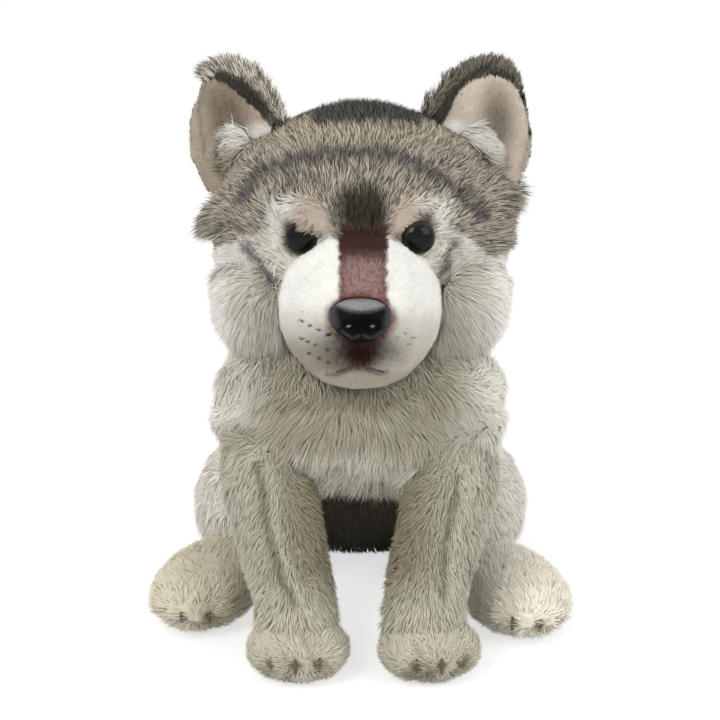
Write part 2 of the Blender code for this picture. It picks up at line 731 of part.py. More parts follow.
def main():
    """Build every piece of the wolf."""
    for obj in list(bpy.data.objects):
        bpy.data.objects.remove(obj)

    grey_fur = material_of("grizzled_grey_pile", (0.20, 0.18, 0.15))
    white_fur = material_of("white_long_pile", (0.72, 0.70, 0.66))
    cream_fur = material_of("cream_short_pile", (0.56, 0.53, 0.46))
    velour = material_of("white_velour", (0.85, 0.84, 0.81))
    lining_pile = material_of("beige_ear_lining", (0.42, 0.37, 0.31))
    black_plastic = material_of("black_moulded_plastic", (0.012, 0.012, 0.014), 0.12)
    washer_plastic = material_of("white_washer_plastic", (0.75, 0.75, 0.73), 0.45)
    cotton = material_of("brown_cotton_thread", (0.09, 0.05, 0.03), 0.8)

    head = make_head(grey_fur)
    muzzle = make_muzzle(velour, head)
    cheeks = [make_cheek(side, white_fur, head, muzzle) for side in (1, -1)]
    make_ear(1, EAR_TILT_LEFT, EAR_TURN_LEFT, grey_fur, lining_pile, white_fur, head)
    make_ear(-1, EAR_TILT_RIGHT, EAR_TURN_RIGHT, grey_fur, lining_pile, white_fur, head)
    for side in (1, -1):
        make_eye(side, black_plastic, washer_plastic, head, muzzle)
    make_nose(black_plastic, washer_plastic, muzzle)
    add_mouth(cotton, muzzle)

    trunk = make_trunk(grey_fur, head, muzzle, *cheeks)
    bib = make_bib(white_fur, head, muzzle, *cheeks, trunk)
    make_tail(grey_fur, trunk)

    for side, spread, turn, toes_ahead in (
        (1, FOREPAW_SPREAD_LEFT, FOREPAW_TURN_LEFT, HIND_TOES_AHEAD_LEFT),
        (-1, FOREPAW_SPREAD_RIGHT, FOREPAW_TURN_RIGHT, HIND_TOES_AHEAD_RIGHT),
    ):
        name = side_name(side)
        place = foot_place(side, spread, FOREPAW_Y, FOREPAW_HEIGHT, turn)
        paw = make_foot(f"forepaw_{name}", cream_fur, place, FOREPAW_WIDTH, FOREPAW_LENGTH, FOREPAW_HEIGHT)
        add_toe_stitches(paw, cotton, place, FOREPAW_WIDTH, FOREPAW_LENGTH)
        make_foreleg(side, cream_fur, paw, trunk, bib)

        toes_y = THIGH_Y - THIGH_LENGTH / 2 - toes_ahead
        place = foot_place(
            side, HIND_FOOT_SPREAD, toes_y + HIND_FOOT_LENGTH / 2, HIND_FOOT_HEIGHT, HIND_FOOT_TURN
        )
        foot = make_foot(
            f"hind_foot_{name}", cream_fur, place, HIND_FOOT_WIDTH, HIND_FOOT_LENGTH, HIND_FOOT_HEIGHT
        )
        add_toe_stitches(foot, cotton, place, HIND_FOOT_WIDTH, HIND_FOOT_LENGTH)
        make_thigh(side, cream_fur, foot, trunk)

    centre_on_floor()


main()
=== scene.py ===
"""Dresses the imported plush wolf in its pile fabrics, eyes, nose and threads.

The wolf sits on a pale floor in soft studio light. Each stuffed panel keeps the place and size
of its solid: a skin of backing cloth lies a little inside it, and the pile grows out of that.
"""

import logging
import math
from dataclasses import dataclass, field
from enum import Enum
from functools import cache
from typing import Callable, NamedTuple, Sequence

import bmesh
import bpy
import numpy as np
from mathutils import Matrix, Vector
from mathutils.bvhtree import BVHTree
from mathutils.kdtree import KDTree
from mathutils.kdtree import KDTree


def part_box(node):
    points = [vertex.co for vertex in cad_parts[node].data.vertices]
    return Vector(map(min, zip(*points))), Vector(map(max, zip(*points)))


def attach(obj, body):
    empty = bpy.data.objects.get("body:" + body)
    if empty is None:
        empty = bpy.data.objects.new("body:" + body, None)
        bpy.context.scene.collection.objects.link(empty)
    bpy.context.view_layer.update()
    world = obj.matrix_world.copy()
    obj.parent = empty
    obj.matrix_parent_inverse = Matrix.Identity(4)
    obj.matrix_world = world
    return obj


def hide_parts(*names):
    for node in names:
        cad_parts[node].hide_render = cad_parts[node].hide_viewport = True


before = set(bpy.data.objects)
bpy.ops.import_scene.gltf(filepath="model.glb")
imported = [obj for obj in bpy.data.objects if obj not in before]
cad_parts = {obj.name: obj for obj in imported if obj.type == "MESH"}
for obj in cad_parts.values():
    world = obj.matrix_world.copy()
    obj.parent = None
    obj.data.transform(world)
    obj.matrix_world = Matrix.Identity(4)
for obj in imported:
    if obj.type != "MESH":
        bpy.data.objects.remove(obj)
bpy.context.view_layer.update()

log = logging.getLogger("plush_wolf")
logging.basicConfig(level=logging.INFO, format="%(name)s: %(message)s")

MM = 0.001
BODY = "root"
BAKE_MAP = "OFBake"
SIDES = ("left", "right")

# The viewer's place in mm, the pitch of the look, and the lens in mm and in the frame's pixels.
FRAME_PIXELS = 720
BACK_TO_VIEWER = 957.0
VIEWER = np.array([0.0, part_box("torso")[1].y / MM - BACK_TO_VIEWER, 368.0])
VIEW_PITCH = math.radians(16.0)
LENS = 86.85
SENSOR = 36.0
FOCAL_PIXELS = FRAME_PIXELS * LENS / SENSOR


# ------------------------------------------------------------------ small helpers


def linear(colour: str) -> tuple[float, float, float]:
    """Turns an sRGB hex colour into linear light.

    Args:
        colour: The colour, as "#rrggbb".

    Returns:
        Red, green and blue in linear light.
    """
    parts = [int(colour[i : i + 2], 16) / 255 for i in (1, 3, 5)]
    return tuple(p / 12.92 if p <= 0.04045 else ((p + 0.055) / 1.055) ** 2.4 for p in parts)


def ink(colour: str) -> np.ndarray:
    """Gives an sRGB hex colour as an array of linear light."""
    return np.array(linear(colour))


def rgba(colour: str, times: float = 1.0) -> tuple[float, ...]:
    """Gives an sRGB hex colour as a socket's value, made lighter or darker."""
    return (*(min(part * times, 1.0) for part in linear(colour)), 1.0)


def dyed(points: np.ndarray, colour: str) -> np.ndarray:
    """Gives every point one dye."""
    return np.tile(ink(colour), (len(points), 1))


def unit(rows: np.ndarray) -> np.ndarray:
    """Scales each row to length 1."""
    return rows / np.maximum(np.linalg.norm(rows, axis=1, keepdims=True), 1e-9)


def vectors(*parts: np.ndarray | float) -> np.ndarray:
    """Makes a vector a point of its parts, each a value a point or one for all."""
    return np.stack(np.broadcast_arrays(*parts), axis=1)


def away(points: np.ndarray, source: tuple[float, float, float]) -> np.ndarray:
    """Gives the direction from a source to each point."""
    return unit(points - np.array(source))


def soft_step(values: np.ndarray, start: float, end: float) -> np.ndarray:
    """Rises smoothly from 0 at start to 1 at end; start may be the larger.

    Args:
        values: What is measured.
        start: The value where the step is 0.
        end: The value where the step is 1.

    Returns:
        The step at each value.
    """
    t = np.clip((values - start) / (end - start), 0.0, 1.0)
    return t * t * (3.0 - 2.0 * t)


def waves(points: np.ndarray, size: float, seed: int) -> np.ndarray:
    """Gives a smooth, random-looking vector field, as the lie of a pile wanders.

    Args:
        points: Places, in mm.
        size: The usual width of a wave, in mm.
        seed: Which field it is.

    Returns:
        A vector a point, each part about -1 to 1.
    """
    rng = np.random.default_rng(seed)
    total = np.zeros_like(points)
    for octave in range(5):
        k = rng.normal(size=(3, 3)) * (1.6 / size) * (1 + 0.5 * octave)
        phase = rng.uniform(0, 2 * math.pi, 3)
        total += np.sin(points @ k.T + phase) / (1 + 0.35 * octave)
    return total / 2.2


def front_view(points: np.ndarray) -> np.ndarray:
    """Finds where the viewer in front sees each point.

    Args:
        points: Places, in mm.

    Returns:
        Column and row of each, in pixels of the frame.
    """
    ahead = np.array([0.0, math.cos(VIEW_PITCH), -math.sin(VIEW_PITCH)])
    up = np.array([0.0, math.sin(VIEW_PITCH), math.cos(VIEW_PITCH)])
    from_eye = points - VIEWER
    depth = from_eye @ ahead
    middle = FRAME_PIXELS / 2
    return vectors(
        middle + FOCAL_PIXELS * from_eye[:, 0] / depth,
        middle - FOCAL_PIXELS * (from_eye @ up) / depth,
    )


def spot(
    uv: np.ndarray,
    centre: tuple[float, float],
    radii: tuple[float, float],
    turn: float = 0.0,
    soft: float = 0.3,
) -> np.ndarray:
    """Shapes an airbrushed oval.

    Args:
        uv: Where the points are seen, in pixels.
        centre: The oval's middle.
        radii: Its half sizes.
        turn: How far it is turned, in degrees.
        soft: The share of its size over which the edge fades.

    Returns:
        1 inside, falling to 0 outside.
    """
    a = math.radians(turn)
    d = uv - np.array(centre)
    x = (d[:, 0] * math.cos(a) + d[:, 1] * math.sin(a)) / radii[0]
    y = (-d[:, 0] * math.sin(a) + d[:, 1] * math.cos(a)) / radii[1]
    return soft_step(np.hypot(x, y), 1 + soft, 1 - soft)


def stroke(
    uv: np.ndarray, path: Sequence[tuple[float, float]], width: float, soft: float = 3.0
) -> np.ndarray:
    """Shapes an airbrushed line along a path.

    Args:
        uv: Where the points are seen, in pixels.
        path: The corners of the line.
        width: Its full width, in pixels.
        soft: How far its edge fades, in pixels.

    Returns:
        1 on the line, falling to 0 beside it.
    """
    nearest = np.full(len(uv), 1e9)
    for (ax, ay), (bx, by) in zip(path, path[1:]):
        a, ab = np.array([ax, ay]), np.array([bx - ax, by - ay])
        t = np.clip(((uv - a) @ ab) / (ab @ ab), 0, 1)
        nearest = np.minimum(nearest, np.linalg.norm(uv - a - t[:, None] * ab, axis=1))
    return soft_step(nearest, width / 2 + soft, width / 2 - soft)


def mottle(points: np.ndarray, size: float) -> np.ndarray:
    """Gives each place a fine random share, the same wherever it is asked.

    Args:
        points: Places, in mm.
        size: How far apart two places must be to differ, in mm.

    Returns:
        A value from 0 to 1 a point.
    """
    cells = np.floor(points / size)
    noise = np.sin(cells @ np.array([12.9898, 78.233, 37.719])) * 43758.5453
    return noise - np.floor(noise)


def paint(base: np.ndarray, colour: str, mask: np.ndarray) -> np.ndarray:
    """Lays a dye over the ones already there.

    Args:
        base: The colours so far, in linear light.
        colour: The dye, as sRGB hex.
        mask: How much of it each point takes.

    Returns:
        The new colours.
    """
    return base + (ink(colour) - base) * mask[:, None]


class Oval(NamedTuple):
    """An airbrushed oval, placed in the frame's pixels."""

    colour: str
    share: float
    centre: tuple[float, float]
    radii: tuple[float, float]
    turn: float = 0.0
    soft: float = 0.3

    def mask(self, uv: np.ndarray) -> np.ndarray:
        """Gives how much of the oval each point takes."""
        return spot(uv, self.centre, self.radii, self.turn, self.soft)


class Line(NamedTuple):
    """An airbrushed line, placed in the frame's pixels."""

    colour: str
    share: float
    path: Sequence[tuple[float, float]]
    width: float
    soft: float

    def mask(self, uv: np.ndarray) -> np.ndarray:
        """Gives how much of the line each point takes."""
        return stroke(uv, self.path, self.width, self.soft)


def airbrush(
    base: np.ndarray,
    uv: np.ndarray,
    marks: Sequence[Oval | Line],
    within: np.ndarray | float = 1.0,
) -> np.ndarray:
    """Lays marks over the dyes already there, one after another.

    Args:
        base: The colours so far, in linear light.
        uv: Where the points are seen, in pixels.
        marks: The ovals and lines.
        within: How much of them each point takes.

    Returns:
        The new colours.
    """
    for mark in marks:
        base = paint(base, mark.colour, mark.mask(uv) * within * mark.share)
    return base


# ------------------------------------------------------------------ finishes


Socket = bpy.types.NodeSocket


class Shading:
    """The node tree of a finish or of the world, and the kinds of node that they need."""

    def __init__(self, owner: bpy.types.Material | bpy.types.World) -> None:
        """Empties the owner's tree.

        Args:
            owner: The material or the world.
        """
        owner.use_nodes = True
        self.tree = owner.node_tree
        self.tree.nodes.clear()

    def add(self, kind: str, inputs: dict, **properties: object) -> bpy.types.Node:
        """Adds a node.

        Args:
            kind: The node's type, after "ShaderNode".
            inputs: A value or another node's output for each input, by its name or number.
            properties: The node's own settings.

        Returns:
            The new node.
        """
        node = self.tree.nodes.new("ShaderNode" + kind)
        for name, value in properties.items():
            setattr(node, name, value)
        for name, value in inputs.items():
            if isinstance(value, Socket):
                self.tree.links.new(value, node.inputs[name])
            else:
                node.inputs[name].default_value = value
        return node

    def stored(self, name: str, output: str = "Fac") -> Socket:
        """Reads what the mesh stores for each point under a name."""
        return self.add("Attribute", {}, attribute_name=name).outputs[output]

    def place(self) -> Socket:
        """Gives the place on the piece, in its own space."""
        return self.add("TexCoord", {}).outputs["Object"]

    def noise(self, size: float, detail: float, roughness: float = 0.5) -> Socket:
        """Makes cloudy noise; the size is in mm."""
        inputs = {"Vector": self.place(), "Scale": 1 / (size * MM)}
        return self.add("TexNoise", inputs | {"Detail": detail, "Roughness": roughness}).outputs[0]

    def maths(self, operation: str, first: Socket, second: Socket) -> Socket:
        """Combines two values."""
        return self.add("Math", {0: first, 1: second}, operation=operation).outputs[0]

    def mapped(
        self,
        value: Socket,
        ends: tuple[float, float],
        starts: tuple[float, float] = (0.0, 1.0),
        kind: str = "LINEAR",
    ) -> Socket:
        """Maps a value from one range onto another.

        Args:
            value: The value.
            ends: The new range.
            starts: The range that it comes from.
            kind: How it runs between the ends.

        Returns:
            The mapped value.
        """
        inputs = {0: value, 1: starts[0], 2: starts[1], 3: ends[0], 4: ends[1]}
        return self.add("MapRange", inputs, interpolation_type=kind).outputs[0]

    def mixed(self, share: Socket, first: Socket | tuple, second: Socket | tuple) -> Socket:
        """Mixes two colours."""
        return self.add("Mix", {0: share, 6: first, 7: second}, data_type="RGBA").outputs[2]

    def scaled(self, colour: Socket, factor: Socket) -> Socket:
        """Makes a colour lighter or darker."""
        return self.add("VectorMath", {0: colour, "Scale": factor}, operation="SCALE").outputs[0]

    def ramp(self, value: Socket, stops: Sequence[tuple[float, str]]) -> Socket:
        """Turns a value into a colour.

        Args:
            value: The value.
            stops: Where each colour stands: the first, the last, then those between.

        Returns:
            The colour.
        """
        node = self.add("ValToRGB", {0: value})
        elements = node.color_ramp.elements
        for number, (place, colour) in enumerate(stops):
            stop = elements[number] if number < 2 else elements.new(place)
            stop.position, stop.color = place, rgba(colour)
        return node.outputs["Color"]

    def bump(self, height: Socket, strength: float, depth: float) -> Socket:
        """Makes small relief; the depth is in mm."""
        inputs = {"Height": height, "Strength": strength, "Distance": depth * MM}
        return self.add("Bump", inputs).outputs[0]

    def rays(self, *kinds: str) -> Socket:
        """Tells rays of the named kinds from all others.

        Args:
            kinds: Outputs of the light path.

        Returns:
            1 for a ray of these kinds and 0 for any other.
        """
        path = self.add("LightPath", {})
        chosen = path.outputs[kinds[0]]
        for kind in kinds[1:]:
            chosen = self.maths("MAXIMUM", chosen, path.outputs[kind])
        return chosen

    def close(self, inputs: dict) -> None:
        """Ends the tree with a Principled shader and its output."""
        shader = self.add("BsdfPrincipled", inputs)
        self.add("OutputMaterial", {"Surface": shader.outputs[0]})


@dataclass(frozen=True)
class Finish:
    """A named finish, made into a material once."""

    name: str

    @cache
    def material(self) -> bpy.types.Material:
        """Makes the finish's material.

        Returns:
            The material, the same one each time.
        """
        made = bpy.data.materials.new(self.name)
        self.shade(Shading(made))
        return made

    def shade(self, nodes: Shading) -> None:
        """Lays the finish's nodes in its empty tree."""
        raise NotImplementedError


@dataclass(frozen=True)
class PileFabric(Finish):
    """A knitted polyester pile fabric: soft fibres standing on a backing cloth.

    The fibres scatter light and shade one another; that shade is painted into the colour,
    which darkens towards the roots, so the pile is brightest at its tips and shows darker
    between the strands.
    """

    strand_width: float = 0.55
    root_shade: float = 0.50
    spread: float = 0.12
    apart: float = 0.18
    dark_fibre: str = "#2c2925"
    roughness: float = 0.75

    def shade(self, nodes: Shading) -> None:
        """Lays the nodes, which read the strands' own dye, grizzle and height.

        Args:
            nodes: The finish's empty tree.
        """
        # Dark guard fibres stand among the pale ones.
        chosen = nodes.mapped(nodes.stored("strand"), (0.0, 1.0), (0.42, 0.72), "SMOOTHSTEP")
        dark = nodes.maths("MULTIPLY", chosen, nodes.stored("grizzle"))
        fibre = nodes.mixed(dark, nodes.stored("dye_and_shade", "Color"), rgba(self.dark_fibre))
        # The dye takes unevenly, in patches a few millimetres wide.
        blotch = nodes.noise(7.0, 3.0, 0.6)
        uneven = nodes.mapped(blotch, (1 - self.spread, 1 + self.spread), (0.3, 0.7))
        # Painted shade: the colour darkens from the tips towards the roots and on the backing
        # cloth.
        root = nodes.mapped(nodes.stored("height"), (self.root_shade, 1.0), (0.0, 0.85))
        colour = nodes.scaled(fibre, nodes.maths("MULTIPLY", uneven, root))
        nodes.close(
            {"Base Color": colour, "Roughness": self.roughness, "Specular IOR Level": 0.0}
        )


@dataclass(frozen=True)
class MouldedPlastic(Finish):
    """Injection-moulded plastic with the faint unevenness that its mould leaves."""

    colour: str
    roughness: float = 0.5

    def shade(self, nodes: Shading) -> None:
        """Lays the nodes.

        Args:
            nodes: The finish's empty tree.
        """
        grain = nodes.noise(1.2, 3.0)
        nodes.close(
            {
                "Base Color": nodes.mixed(grain, rgba(self.colour, 0.8), rgba(self.colour, 1.2)),
                "Roughness": nodes.mapped(grain, (self.roughness * 0.85, self.roughness * 1.2)),
                "Normal": nodes.bump(grain, 0.15, 0.1),
                "Specular IOR Level": 0.5,
            }
        )


@dataclass(frozen=True)
class CottonThread(Finish):
    """Twisted cotton thread: matt, with the ridges of its ply."""

    colour: str
    ply_size: float = 1.6

    def shade(self, nodes: Shading) -> None:
        """Lays the nodes.

        Args:
            nodes: The finish's empty tree.
        """
        ply = nodes.add(
            "TexWave",
            {"Vector": nodes.place(), "Scale": 1 / (self.ply_size * MM), "Distortion": 1.5},
            wave_type="BANDS",
            bands_direction="DIAGONAL",
        ).outputs["Fac"]
        # Painted shade: the colour darkens in the grooves between the plies.
        nodes.close(
            {
                "Base Color": nodes.mixed(ply, rgba(self.colour, 0.55), rgba(self.colour)),
                "Roughness": 0.85,
                "Sheen Weight": 0.2,
                "Normal": nodes.bump(ply, 0.5, 0.2),
            }
        )


@dataclass(frozen=True)
class EyePlastic(Finish):
    """Clear-domed safety eye plastic: a black pupil in a thin brown iris, under a wet gloss."""

    pupil_edge: tuple[float, str] = (0.68, "#030303")
    iris_edge: tuple[float, str] = (0.98, "#070505")
    iris: tuple = ((0.78, "#120d07"), (0.88, "#2b2212"), (0.94, "#140f0a"))

    def shade(self, nodes: Shading) -> None:
        """Lays the nodes, which read how far out on the dome each point lies.

        Args:
            nodes: The finish's empty tree.
        """
        rings = nodes.ramp(nodes.stored("ring"), (self.pupil_edge, self.iris_edge, *self.iris))
        fibres = nodes.mapped(nodes.noise(0.5, 2.0), (0.7, 1.3))
        nodes.close(
            {
                "Base Color": nodes.scaled(rings, fibres),
                "Roughness": 0.10,
                "Coat Weight": 0.15,
                "Coat Roughness": 0.03,
                "Specular IOR Level": 0.12,
            }
        )


@dataclass(frozen=True)
class NosePlastic(Finish):
    """Satin black nose plastic with a fine leather grain, and a painted grey sheen."""

    black: tuple[float, str] = (0.0, "#020203")
    grey: tuple[float, str] = (1.0, "#88898d")
    between: tuple = ((0.2, "#08090a"), (0.6, "#46474b"))
    grain_size: float = 0.8

    def shade(self, nodes: Shading) -> None:
        """Lays the nodes, which read the painted sheen at each point.

        Args:
            nodes: The finish's empty tree.
        """
        inputs = {"Vector": nodes.place(), "Scale": 1 / (self.grain_size * MM)}
        grain = nodes.add("TexVoronoi", inputs).outputs["Distance"]
        # The painted sheen runs from black to grey.
        tone = nodes.ramp(nodes.stored("painted_sheen"), (self.black, self.grey, *self.between))
        speckled = nodes.mapped(grain, (1.12, 0.75), (0.0, 0.7))
        nodes.close(
            {
                "Base Color": nodes.scaled(tone, speckled),
                "Roughness": 0.45,
                "Specular IOR Level": 0.05,
                "Normal": nodes.bump(grain, 0.35, 0.15),
            }
        )


LONG_PILE = PileFabric("long_white_polyester_pile", 0.46, 0.97, 0.07, apart=0.10)
GRIZZLED_PILE = PileFabric("grizzled_polyester_pile", 0.44, 0.66, 0.12)
CREAM_PILE = PileFabric("cream_polyester_pile", 0.46, 0.95, 0.06, apart=0.10)
VELBOA = PileFabric("white_velboa", 0.45, 0.84, 0.05, apart=0.16, roughness=0.9)
LINING_PLUSH = PileFabric("beige_lining_plush", 0.55, 0.92, 0.06, roughness=0.9)
EYE_PLASTIC = EyePlastic("domed_eye_plastic")
NOSE_PLASTIC = NosePlastic("satin_black_nose_plastic")
WASHER_NYLON = MouldedPlastic("white_nylon_washer", "#e6e4de")
MOUTH_COTTON = CottonThread("brown_cotton_thread", "#4c3a2c")
CLAW_COTTON = CottonThread("faded_brown_cotton_thread", "#695448")


# ------------------------------------------------------------------ stuffed panels


# What the cloth and the strands of every panel share. Depths and sizes are in mm, lifts in
# radians, and the rest are shares.
WELD = 0.01
COVERED_DEPTH, OPEN_DEPTH = 4.0, 1.0
SEAM_INSET = 0.15
FOLD_LIMIT = 0.05
BROAD_WAVES, FINE_WAVES = (16, 7), (5, 11)
STRAY = 0.28
LIFT_SPREAD = 0.12
LIFT_RANGE = (0.08, 1.5)
TIP_LIFT = 0.45
LENGTH_RANGE = (0.72, 1.12)
WIDTH_RANGE = (0.7, 1.3)
PULL_RANGE = (0.4, 1.0)
MIDDLE_PULL = 0.4
TWIST = 0.35
ROOT_DEPTH = 0.4
SKIN_STRAND, SKIN_HEIGHT = 0.5, 0.3
STRAND_SEEDS = 1000


class Strand(Enum):
    """How a strand of pile is drawn: its corners' heights, its triangles and its map."""

    BENT = (
        (0.0, 0.5, 0.5, 1.0),
        ((0, 1, 2), (2, 1, 3)),
        ((0.5, 0.08), (0.92, 0.5), (0.08, 0.5), (0.5, 0.92)),
    )
    STUB = ((0.0, 0.0, 1.0), ((0, 1, 2),), ((0.1, 0.1), (0.9, 0.1), (0.5, 0.92)))


@dataclass
class Coat:
    """What the strands take from their places: a row or value a strand, or one for all."""

    # The colour: the pile's own colour, with painted shade in places.
    dye_and_shade: np.ndarray
    grizzle: np.ndarray | float
    length: np.ndarray | float
    comb: np.ndarray | tuple[float, float, float]
    lift: np.ndarray | float

    def __post_init__(self) -> None:
        """Spreads what all strands share over each of them."""
        self.comb = np.broadcast_to(self.comb, self.dye_and_shade.shape)
        for name in ("grizzle", "length", "lift"):
            setattr(self, name, np.broadcast_to(getattr(self, name), len(self.dye_and_shade)))


CoatRule = Callable[[np.ndarray, np.ndarray], Coat]


def points_of(mesh: bpy.types.Mesh) -> np.ndarray:
    """Reads a mesh's points.

    Args:
        mesh: The mesh.

    Returns:
        Its points, in mm.
    """
    points = np.empty(len(mesh.vertices) * 3)
    mesh.vertices.foreach_get("co", points)
    return points.reshape(-1, 3) / MM


def place_mesh(name: str, mesh: bpy.types.Mesh) -> bpy.types.Object:
    """Puts a mesh in the scene, at the origin.

    Args:
        name: The new object's name.
        mesh: The mesh.

    Returns:
        The object.
    """
    piece = bpy.data.objects.new(name, mesh)
    bpy.context.scene.collection.objects.link(piece)
    return piece


def panel_mesh(names: list[str], voxel: float, smoothing: int) -> bpy.types.Mesh:
    """Joins copies of CAD solids into one even, rounded skin.

    Args:
        names: The solids' nodes.
        voxel: The size of the skin's faces, in mm.
        smoothing: How many rounds it is smoothed.

    Returns:
        The skin, in metres.
    """
    shell = bmesh.new()
    for name in names:
        shell.from_mesh(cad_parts[name].data)
    bmesh.ops.remove_doubles(shell, verts=shell.verts, dist=WELD * MM)
    raw = bpy.data.meshes.new("raw_skin")
    shell.to_mesh(raw)
    shell.free()
    holder = place_mesh("skin_holder", raw)
    remesh = holder.modifiers.new("Remesh", "REMESH")
    remesh.mode, remesh.voxel_size = "VOXEL", voxel * MM
    smooth = holder.modifiers.new("Smooth", "SMOOTH")
    smooth.factor, smooth.iterations = 0.5, smoothing
    graph = bpy.context.evaluated_depsgraph_get()
    skin = bpy.data.meshes.new_from_object(holder.evaluated_get(graph))
    bpy.data.objects.remove(holder)
    bpy.data.meshes.remove(raw)
    return skin


@dataclass
class Stuffing:
    """The whole stuffed body as one rounded form, against which each panel is laid."""

    nodes: list[str]
    voxel: float = 3.0
    smoothing: int = 5
    tree: BVHTree = field(init=False)

    def __post_init__(self) -> None:
        """Builds the form and the tree that finds its nearest face."""
        skin = panel_mesh(self.nodes, self.voxel, self.smoothing)
        faces = [tuple(face.vertices) for face in skin.polygons]
        self.tree = BVHTree.FromPolygons(points_of(skin).tolist(), faces)
        bpy.data.meshes.remove(skin)

    def measure(self, points: np.ndarray) -> tuple[np.ndarray, np.ndarray]:
        """Finds how deep points lie in the body.

        Args:
            points: Places, in mm.

        Returns:
            The depth of each, above 0 inside, and the outward direction there.
        """
        depth = np.empty(len(points))
        outward = np.empty((len(points), 3))
        find = self.tree.find_nearest
        for i, point in enumerate(points.tolist()):
            place, normal, _, distance = find(point)
            inside = (Vector(point) - place).dot(normal) < 0
            depth[i] = distance if inside else -distance
            outward[i] = normal
        return depth, outward


